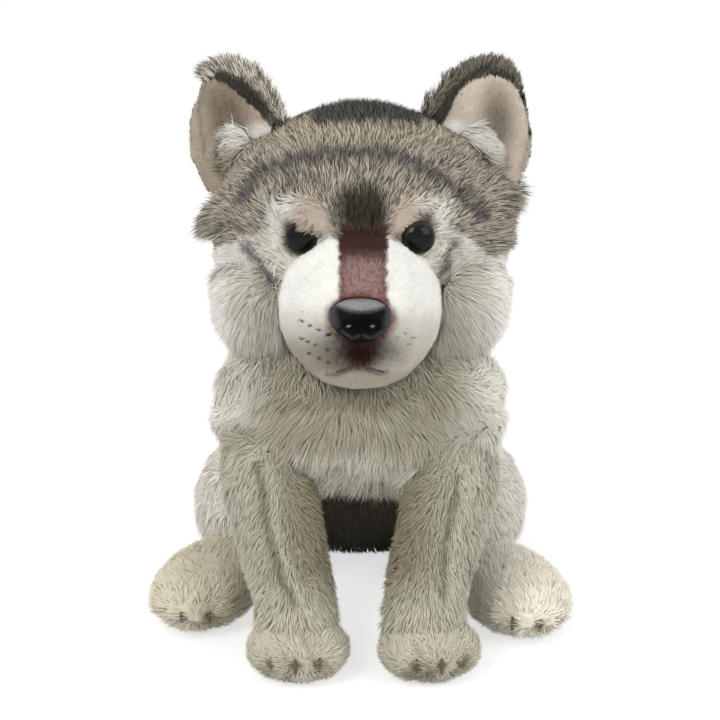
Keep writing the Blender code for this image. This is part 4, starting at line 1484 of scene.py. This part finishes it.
def trunk_coat(points: np.ndarray, normals: np.ndarray) -> Coat:
    """Gives the trunk's pile: a dark grizzled back, pale sides and a brown-grey underside.

    The underside's dark is partly painted shade.

    Args:
        points: Places, in mm.
        normals: The outward directions there.

    Returns:
        The coat.
    """
    x, y, z = points.T
    behind = y - np.interp(z, *BACK_PROFILE)
    back = soft_step(behind, -4, 12) * soft_step(np.abs(x), 58, 42)
    saddle = soft_step(x, 38, 48) * soft_step(y, -40, -26) * soft_step(z, 122, 134)
    back = np.maximum(back, saddle)
    dye_and_shade = paint(dyed(points, "#e6e3da"), "#7a7468", back)
    dye_and_shade = paint(dye_and_shade, "#3c3a36", soft_step(behind, 4, 20) * soft_step(np.abs(x), 24, 12))
    # The underside, the lower front and the front near the floor are painted dark brown-grey:
    # partly the pile's own colour and partly painted shade where light is blocked.
    belly_and_shade = soft_step(normals[:, 2], 0.05, -0.45) * soft_step(y, 60, 30) * soft_step(z, 100, 84)
    belly_and_shade = np.maximum(belly_and_shade, soft_step(normals[:, 1], -0.2, -0.6) * soft_step(z, 84, 70))
    hem = soft_step(z, 12, 5) * soft_step(np.abs(x), 46, 38) * soft_step(y, 25, 5)
    belly_and_shade = np.maximum(belly_and_shade, hem)
    dye_and_shade = paint(dye_and_shade, "#625e51", belly_and_shade)
    return Coat(dye_and_shade, 0.85 * back, 13.0 - 4.0 * belly_and_shade, vectors(np.sign(x) * 0.15, 0.35, -1.0), 0.6)


def bib_coat(points: np.ndarray, normals: np.ndarray) -> Coat:
    """Gives the bib's long wavy pile: pale at the shoulders, beige-grey down the middle.

    Args:
        points: Places, in mm.
        normals: Not used.

    Returns:
        The coat.
    """
    x = points[:, 0]
    uv = front_view(points)
    rough = uv + 5 * waves(points, 8, 6)[:, :2]
    u, v = uv[:, 0] + 9 * waves(points, 22, 3)[:, 0], uv[:, 1] + 7 * waves(points, 18, 4)[:, 0]
    middle = soft_step(np.abs(u - 362), 142, 78)
    dye_and_shade = paint(dyed(points, "#e8e5da"), "#aea895", middle * soft_step(v, 500, 450))
    dye_and_shade = paint(dye_and_shade, "#cbc7b9", middle * soft_step(v, 456, 484) * 0.95)
    # Painted shade under the chin.
    dye_and_shade = paint(dye_and_shade, "#97907b", spot(uv, (366, 404), (80, 16), 0, 0.9) * 0.7)
    # Painted shade below each ruffle, then a painted highlight along it.
    for path in BIB_RIDGES:
        dye_and_shade = airbrush(dye_and_shade, rough + (0, 9), [Line("#8a8470", 0.6, path, 4, 7)])
        dye_and_shade = airbrush(dye_and_shade, rough, [Line("#cfcaba", 0.7, path, 3, 7)])
    # Painted shade where the bib meets the forelegs.
    dye_and_shade = airbrush(dye_and_shade, rough, BIB_CORNER_SHADES)
    hem = soft_step(rough[:, 1], 456, 480) * soft_step(np.abs(x), 29, 17)
    dye_and_shade = paint(dye_and_shade, "#dedbce", hem * 0.6)
    # The pile lies in soft waves across the chest.
    roll = 0.6 * waves(points, 20, 17)[:, 2]
    ruffle = np.exp(-(((uv[:, 1] - 412) / 15) ** 2))
    lie = np.sin(x / 15 + 0.8) * 0.5 + 0.6 * waves(points, 26, 8)[:, 1]
    lie = lie + 1.1 * np.sign(x) * soft_step(np.abs(x), 4, 14) * ruffle
    lift = 0.52 + (0.2 * roll + 0.3 * ruffle) * (1 - hem)
    return Coat(dye_and_shade, 0.0, 14.5 + 8.5 * hem, vectors(lie, 0.25, -1.0 + 0.6 * roll), lift)


def tail_coat(points: np.ndarray, normals: np.ndarray) -> Coat:
    """Gives the tail's grizzled pile, dark at the tip and cream under it.

    Args:
        points: Places, in mm.
        normals: The outward directions there.

    Returns:
        The coat.
    """
    under = soft_step(normals[:, 2], -0.1, -0.6)
    dye_and_shade = paint(dyed(points, "#857e70"), "#2f2d2a", soft_step(points[:, 1], 128, 150))
    dye_and_shade = paint(dye_and_shade, "#cfc9bb", under)
    return Coat(dye_and_shade, 0.85 * (1 - under), 15.0, (-0.2, 1.0, -0.1), 0.6)


@dataclass
class Trunk:
    """The trunk, the bib sewn over its chest, and the tail."""

    trunk_strands: int = 45000
    bib_strands: int = 45000
    tail_strands: int = 14000

    def panels(self) -> list[Panel]:
        """Lists the panels with their piles.

        Returns:
            The trunk, the bib and the tail.
        """
        return [
            Panel("torso", "trunk_pile", GRIZZLED_PILE, self.trunk_strands, trunk_coat,
                  "grizzled_grey_pile", inset=4.5, droop=0.3, clump=0.5, seed=61),
            Panel("chest_bib", "chest_bib_pile", LONG_PILE, self.bib_strands, bib_coat,
                  "white_long_pile", inset=4.5, droop=0.3, clump=0.35, clump_size=14,
                  wander=0.8, own_share=0.3, seed=62),
            Panel("tail", "tail_pile", GRIZZLED_PILE, self.tail_strands, tail_coat,
                  "grizzled_grey_pile", inset=4.5, droop=0.15, clump=0.5, seed=63),
        ]


# ------------------------------------------------------------------ legs and feet


# The creases down the forelegs' fronts: painted shade in each and a painted highlight beside it.
LEG_CREASES = (
    ((255, 466), (263, 495), (264, 518), (269, 541), (275, 564), (284, 587), (295, 607)),
    ((458, 480), (453, 509), (444, 552), (444, 598)),
)
# Painted shade in the grooves between the toes.
TOE_GROOVE_SHADES = tuple(
    Line("#958f7b", 0.75, path, 3, 6)
    for path in (
        ((301, 634), (310, 650), (316, 668), (318, 688)),
        ((283, 652), (286, 668), (290, 684)),
        ((418, 650), (426, 664), (430, 680)),
    )
)
CLAW_MARKS = tuple(
    np.array(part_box(f"{foot}_{side}_stitch_{i}")).mean(axis=0) / MM
    for foot in ("forepaw", "hind_foot")
    for side in SIDES
    for i in (1, 2, 3)
)


def leg_coat(points: np.ndarray, normals: np.ndarray) -> Coat:
    """Gives the forelegs' grey-olive pile, paler outside and creased at the front seam.

    The inner sides, the crease and the top are painted darker as shade, with a painted highlight
    beside the crease.

    Args:
        points: Places, in mm.
        normals: Not used.

    Returns:
        The coat.
    """
    z = points[:, 2]
    uv = front_view(points)
    # Painted shade: the pile darkens towards the middle, between the legs, over its own grey-olive,
    # and is paler outside.
    out = soft_step(np.abs(uv[:, 0] + 5 * waves(points, 12, 2)[:, 0] - 357), 34, 128)
    dye_and_shade = paint(dyed(points, "#958f78"), "#c3bfae", out)
    dye_and_shade = paint(dye_and_shade, "#cbc6b3", soft_step(uv[:, 1], 565, 625))
    # A painted highlight beside each crease, and painted shade in it.
    for path in LEG_CREASES:
        dye_and_shade = airbrush(dye_and_shade, uv - (11, 0), [Line("#d8d5c6", 0.5, path, 6, 8)])
        dye_and_shade = airbrush(dye_and_shade, uv, [Line("#6c6752", 0.9, path, 4, 6)])
    # Painted shade at the top of the leg, where it meets the bib.
    top = soft_step(z, 98, 108)
    dye_and_shade = paint(dye_and_shade, "#b7b2a0", top * out * 0.8)
    length = (8.0 + 3.0 * soft_step(z, 42, 28)) * (1 - 0.3 * top)
    return Coat(dye_and_shade, 0.10, length, (0, 0.35, -1.0), 0.5 - 0.3 * top)


def from_toes(points: np.ndarray, foot: str) -> np.ndarray:
    """Gives the direction back over each foot from its toes.

    Args:
        points: Places, in mm.
        foot: "forepaw" or "hind_foot".

    Returns:
        A direction a point.
    """
    comb = np.empty_like(points)
    for side, chosen in zip(SIDES, (points[:, 0] > 0, points[:, 0] <= 0)):
        low, high = (np.array(corner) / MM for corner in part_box(f"{foot}_{side}"))
        toes = ((low[0] + high[0]) / 2, low[1] - 12, low[2] + 2)
        comb[chosen] = away(points[chosen], toes)
    return comb


def claw_dust(points: np.ndarray, dye_and_shade: np.ndarray) -> np.ndarray:
    """Dusts the pile brown round each claw's stitch.

    Args:
        points: Places, in mm.
        dye_and_shade: The colours so far.

    Returns:
        The new colours.
    """
    for mark in CLAW_MARKS:
        gap = np.linalg.norm(points - mark, axis=1)
        dye_and_shade = paint(dye_and_shade, "#5d4a40", soft_step(gap, 4.4, 1.4) * 0.8)
    return dye_and_shade


def forepaw_coat(points: np.ndarray, normals: np.ndarray) -> Coat:
    """Gives the forepaws' short cream pile, swept back from the toes.

    Args:
        points: Places, in mm.
        normals: Not used.

    Returns:
        The coat.
    """
    rough = front_view(points) + 2 * waves(points, 4, 3)[:, :2]
    # Painted shade in the toe grooves, and brown round the claws.
    dye_and_shade = claw_dust(points, airbrush(dyed(points, "#cbc6b3"), rough, TOE_GROOVE_SHADES))
    length = 6.0 + 4.0 * soft_step(points[:, 2], 20, 28)
    return Coat(dye_and_shade, 0.03, length, from_toes(points, "forepaw"), 0.6)


def hind_foot_coat(points: np.ndarray, normals: np.ndarray) -> Coat:
    """Gives the hind feet's fluffy ivory pile.

    Args:
        points: Places, in mm.
        normals: Not used.

    Returns:
        The coat.
    """
    dye_and_shade = paint(dyed(points, "#f5f0e0"), "#e0d9c3", soft_step(points[:, 0], 10, -10))
    return Coat(claw_dust(points, dye_and_shade), 0.0, 7.5, from_toes(points, "hind_foot"), 0.7)


def thigh_coat(points: np.ndarray, normals: np.ndarray) -> Coat:
    """Gives the thighs' pale pile.

    Args:
        points: Places, in mm.
        normals: Not used.

    Returns:
        The coat.
    """
    upper = soft_step(points[:, 1], 16, 40) * soft_step(points[:, 2], 34, 56)
    dye_and_shade = paint(dyed(points, "#ece8de"), "#a39c8e", upper * 0.6)
    return Coat(dye_and_shade, 0.5 * upper, 10.0, (0, 0.3, -1.0), 0.6)


def on_a_stitch(points: np.ndarray) -> np.ndarray:
    """Tells whether a root would stand on a claw's stitch."""
    gaps = [np.hypot(points[:, 0] - m[0], points[:, 1] - m[1]) for m in CLAW_MARKS]
    return (np.min(gaps, axis=0) < 1.0) & (points[:, 2] > 5) & (points[:, 2] < 22)


@dataclass
class Legs:
    """The forelegs, thighs and all four feet."""

    foreleg_strands: int = 18500
    paw_strands: int = 11000
    thigh_strands: int = 14000
    hind_strands: int = 13500

    def panels(self) -> list[Panel]:
        """Lists the panels with their piles.

        Returns:
            Each side's foreleg, forepaw, thigh and hind foot.
        """
        made = []
        for i, side in enumerate(SIDES):
            made += [
                Panel(f"foreleg_{side}", f"foreleg_{side}_pile", CREAM_PILE,
                      self.foreleg_strands, leg_coat, "cream_pile", inset=2.8,
                      own_share=0.3, seed=71 + i),
                Panel(f"forepaw_{side}", f"forepaw_{side}_pile", CREAM_PILE,
                      self.paw_strands, forepaw_coat, "cream_pile", inset=1.8, voxel=1.6,
                      smoothing=1, clump=0.3, droop=0.1, bald=on_a_stitch, seed=75 + i),
                Panel(f"thigh_{side}", f"thigh_{side}_pile", CREAM_PILE,
                      self.thigh_strands, thigh_coat, "cream_pile", inset=3.4,
                      own_share=0.3, seed=79 + i),
                Panel(f"hind_foot_{side}", f"hind_foot_{side}_pile", CREAM_PILE,
                      self.hind_strands, hind_foot_coat, "cream_pile", inset=1.8, voxel=1.6,
                      smoothing=1, clump=0.3, droop=0.1, bald=on_a_stitch, seed=83 + i),
            ]
        return made


# ------------------------------------------------------------------ eyes, nose and threads


@dataclass
class Eyes:
    """The two safety eyes: a smooth dome with its rim and shank."""

    radius: float = 7.8
    dome: float = 5.2
    rim: float = 1.0
    turn: float = 13.0
    shank_radius: float = 2.0
    shank_length: float = 11.0
    segments: int = 48
    rings: int = 32
    crease: float = 50.0

    def place(self, side: str) -> tuple[Vector, float]:
        """Finds the middle of an eye's rim on its CAD node, and the turn of its axis.

        Args:
            side: "left" or "right".

        Returns:
            The place in metres, and the turn about Z in radians.
        """
        turn = math.radians(self.turn) * (1 if side == "left" else -1)
        aim = Vector((math.sin(turn), -math.cos(turn), 0))
        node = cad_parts[f"eye_{side}"]
        apex = max((v.co for v in node.data.vertices), key=lambda co: co.dot(aim))
        return apex - aim * self.dome * MM, turn

    def build(self, side: str) -> bpy.types.Object:
        """Models one eye and lays it on its node.

        Args:
            side: "left" or "right".

        Returns:
            The new piece.
        """
        bpy.ops.object.select_all(action="DESELECT")
        bpy.ops.mesh.primitive_uv_sphere_add(
            segments=self.segments, ring_count=self.rings, radius=self.radius * MM
        )
        eye = bpy.context.object
        eye.name = f"eye_{side}_dome"
        outward = [math.hypot(v.co.x, v.co.y) / (self.radius * MM) for v in eye.data.vertices]
        put(eye.data, "ring", "FLOAT", np.array(outward))
        for vertex in eye.data.vertices:
            half = self.dome if vertex.co.z > 0 else self.rim
            vertex.co.z *= half / self.radius
        bpy.ops.object.mode_set(mode="EDIT")
        bpy.ops.mesh.select_all(action="DESELECT")
        bpy.ops.object.mode_set(mode="OBJECT")
        for face in eye.data.polygons:
            middle = face.center
            face.select = middle.z < 0 and math.hypot(middle.x, middle.y) < self.shank_radius * MM
        bpy.ops.object.mode_set(mode="EDIT")
        bpy.ops.mesh.extrude_region_move(
            TRANSFORM_OT_translate={"value": (0, 0, -self.shank_length * MM)}
        )
        bpy.ops.object.mode_set(mode="OBJECT")
        centre, turn = self.place(side)
        eye.rotation_euler = (math.pi / 2, 0, turn)
        eye.location = centre
        bpy.ops.object.transform_apply(location=True, rotation=True, scale=True)
        bpy.ops.object.shade_smooth_by_angle(angle=math.radians(self.crease))
        eye.data.materials.append(EYE_PLASTIC.material())
        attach(eye, BODY)
        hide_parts(f"eye_{side}")
        log.info("%s: %d faces", eye.name, len(eye.data.polygons))
        return eye


@dataclass
class Nose:
    """The moulded nose, with its facets rounded off; its painted sheen is placed in the frame."""

    voxel: float = 0.6
    smoothing: int = 17
    middle: float = 361.5
    nostrils: tuple = ((348.5, 323), (372.5, 323))
    lip: tuple = ((342, 331), (352, 338.5), (362, 335), (372, 338.5), (383, 331))
    parting: tuple = ((361.5, 327), (361.5, 341))

    def painted_sheen(self, points: np.ndarray) -> np.ndarray:
        """Finds the painted sheen at each point: most on top and along the lip.

        Args:
            points: Places, in mm.

        Returns:
            0 for black to 1 for grey.
        """
        uv = front_view(points)
        u, v = uv.T
        off = np.abs(u - self.middle)
        # Painted sheen: grey on top, at the sides and along the lip.
        arch = v + 0.009 * off**2 + 1.6 * (mottle(points, 0.6) - 0.5)
        tone = soft_step(arch, 318, 307) * (1 - 0.3 * soft_step(arch, 303, 297))
        sides = soft_step(off + 0.25 * (v - 318), 14, 29) * soft_step(v, 338, 322)
        tone = np.maximum(tone, 0.5 * sides)
        tone = np.maximum(tone, 0.62 * stroke(uv, self.lip, 3.0, 4.5))
        # Each nostril is black, with a painted glint on its lower edge.
        for column, row in self.nostrils:
            tone = tone * (1 - spot(uv, (column, row), (5.4, 4.4), 0, 0.3))
            painted_glint = spot(uv, (column, row + 3.2), (2.5, 1.5), -15, 0.7)
            tone = np.maximum(tone, 0.95 * painted_glint)
        return tone * (1 - stroke(uv, self.parting, 1.4, 1.6))

    def build(self) -> bpy.types.Object:
        """Rounds a copy of the CAD nose and gives it its finish.

        Returns:
            The new piece.
        """
        mesh = panel_mesh(["nose"], self.voxel, self.smoothing)
        nose = place_mesh("nose_moulding", mesh)
        # Stores the painted sheen and glints for the material.
        put(mesh, "painted_sheen", "FLOAT", self.painted_sheen(points_of(mesh)))
        mesh.materials.clear()
        mesh.materials.append(NOSE_PLASTIC.material())
        mesh.polygons.foreach_set("use_smooth", np.ones(len(mesh.polygons), bool))
        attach(nose, BODY)
        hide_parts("nose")
        log.info("nose: %d faces", len(mesh.polygons))
        return nose


@dataclass
class HardParts:
    """The washers and threads, which stay as they are with better finishes."""

    finishes: tuple = (
        ("stitch", CLAW_COTTON), ("mouth_thread", MOUTH_COTTON), ("washer", WASHER_NYLON)
    )

    def dress(self) -> None:
        """Gives the washers and threads their finishes."""
        for name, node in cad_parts.items():
            for word, finish in self.finishes:
                if word in name:
                    node.data.materials.clear()
                    node.data.materials.append(finish.material())
                    log.info("%s: %s", name, finish.name)


# ------------------------------------------------------------------ studio


@dataclass(frozen=True)
class FloorPaper(Finish):
    """Pale paper that takes a soft shadow and else looks white to the camera."""

    white: float = 0.80
    shadow_white: float = 0.42
    glow: float = 0.67

    def shade(self, nodes: Shading) -> None:
        """Lays the nodes.

        Args:
            nodes: The finish's empty tree.
        """
        paper, thin = (
            nodes.add("BsdfDiffuse", {"Color": (level, level, level, 1)}).outputs[0]
            for level in (self.white, self.shadow_white)
        )
        glow = nodes.add("Emission", {"Strength": self.glow}).outputs[0]
        shown = nodes.add("AddShader", {0: thin, 1: glow}).outputs[0]
        seen = nodes.rays("Is Camera Ray", "Is Glossy Ray")
        mix = nodes.add("MixShader", {0: seen, 1: paper, 2: shown}).outputs[0]
        nodes.add("OutputMaterial", {"Surface": mix})


@dataclass
class Studio:
    """The pale floor, the soft lamps and the camera."""

    floor_size: float = 14.0
    floor_drop: float = 0.0002
    ambient: float = 0.76
    aim: tuple[float, float, float] = (0, -0.03, 0.13)
    lamps: tuple = (
        ("key_lamp", (-0.9, -1.3, 1.5), 1.0, 20),
        ("fill_lamp", (1.3, -0.9, 1.0), 1.2, 10),
    )
    near_clip: float = 0.01

    def floor(self) -> None:
        """Lays a pale floor that keeps the wolf's shadow and else looks white."""
        bpy.ops.mesh.primitive_plane_add(size=self.floor_size, location=(0, 0, -self.floor_drop))
        floor = bpy.context.object
        floor.name = "studio_floor"
        floor.data.materials.append(FloorPaper("pale_studio_floor").material())

    def world(self) -> None:
        """Surrounds the wolf with white, and with an even soft light."""
        world = bpy.data.worlds.new("studio_world")
        bpy.context.scene.world = world
        nodes = Shading(world)
        seen = nodes.rays("Is Camera Ray", "Is Glossy Ray", "Is Transmission Ray")
        level = nodes.mapped(seen, (self.ambient, 1.0))
        sky = nodes.add("Background", {"Color": (1.0, 1.0, 1.0, 1), "Strength": level})
        nodes.add("OutputWorld", {"Surface": sky.outputs[0]})

    def lamp(self, name: str, place: tuple[float, float, float], size: float, watts: float) -> None:
        """Hangs a soft square lamp that faces the wolf.

        Args:
            name: The lamp's name.
            place: Where it hangs, in metres.
            size: Its side, in metres.
            watts: Its power.
        """
        bpy.ops.object.light_add(type="AREA", location=place)
        lamp = bpy.context.object
        lamp.name = name
        lamp.data.size = size
        lamp.data.energy = watts
        aim = Vector(self.aim) - Vector(place)
        lamp.rotation_euler = aim.to_track_quat("-Z", "Y").to_euler()

    def camera(self) -> None:
        """Sets the camera at the photograph's angle."""
        bpy.ops.object.camera_add(
            location=tuple(VIEWER * MM), rotation=(math.pi / 2 - VIEW_PITCH, 0, 0)
        )
        camera = bpy.context.object
        camera.name = "studio_camera"
        camera.data.lens = LENS
        camera.data.sensor_width = SENSOR
        camera.data.clip_start = self.near_clip
        bpy.context.scene.camera = camera

    def build(self) -> None:
        """Sets up the whole studio."""
        self.floor()
        self.world()
        for lamp in self.lamps:
            self.lamp(*lamp)
        self.camera()
        bpy.context.scene.view_settings.view_transform = "Standard"


# ------------------------------------------------------------------ the whole wolf


def main() -> None:
    """Builds the wolf's panels and hard parts, then the studio."""
    bpy.ops.object.select_all(action="DESELECT")
    assemblies = [Head(), Muzzle(), Ears(), Trunk(), Legs()]
    panels = [panel for assembly in assemblies for panel in assembly.panels()]
    body = Stuffing([panel.node for panel in panels])
    for panel in panels:
        panel.build(body)
    for side in SIDES:
        Eyes().build(side)
    Nose().build()
    HardParts().dress()
    Studio().build()


if __name__ == "__main__":
    main()
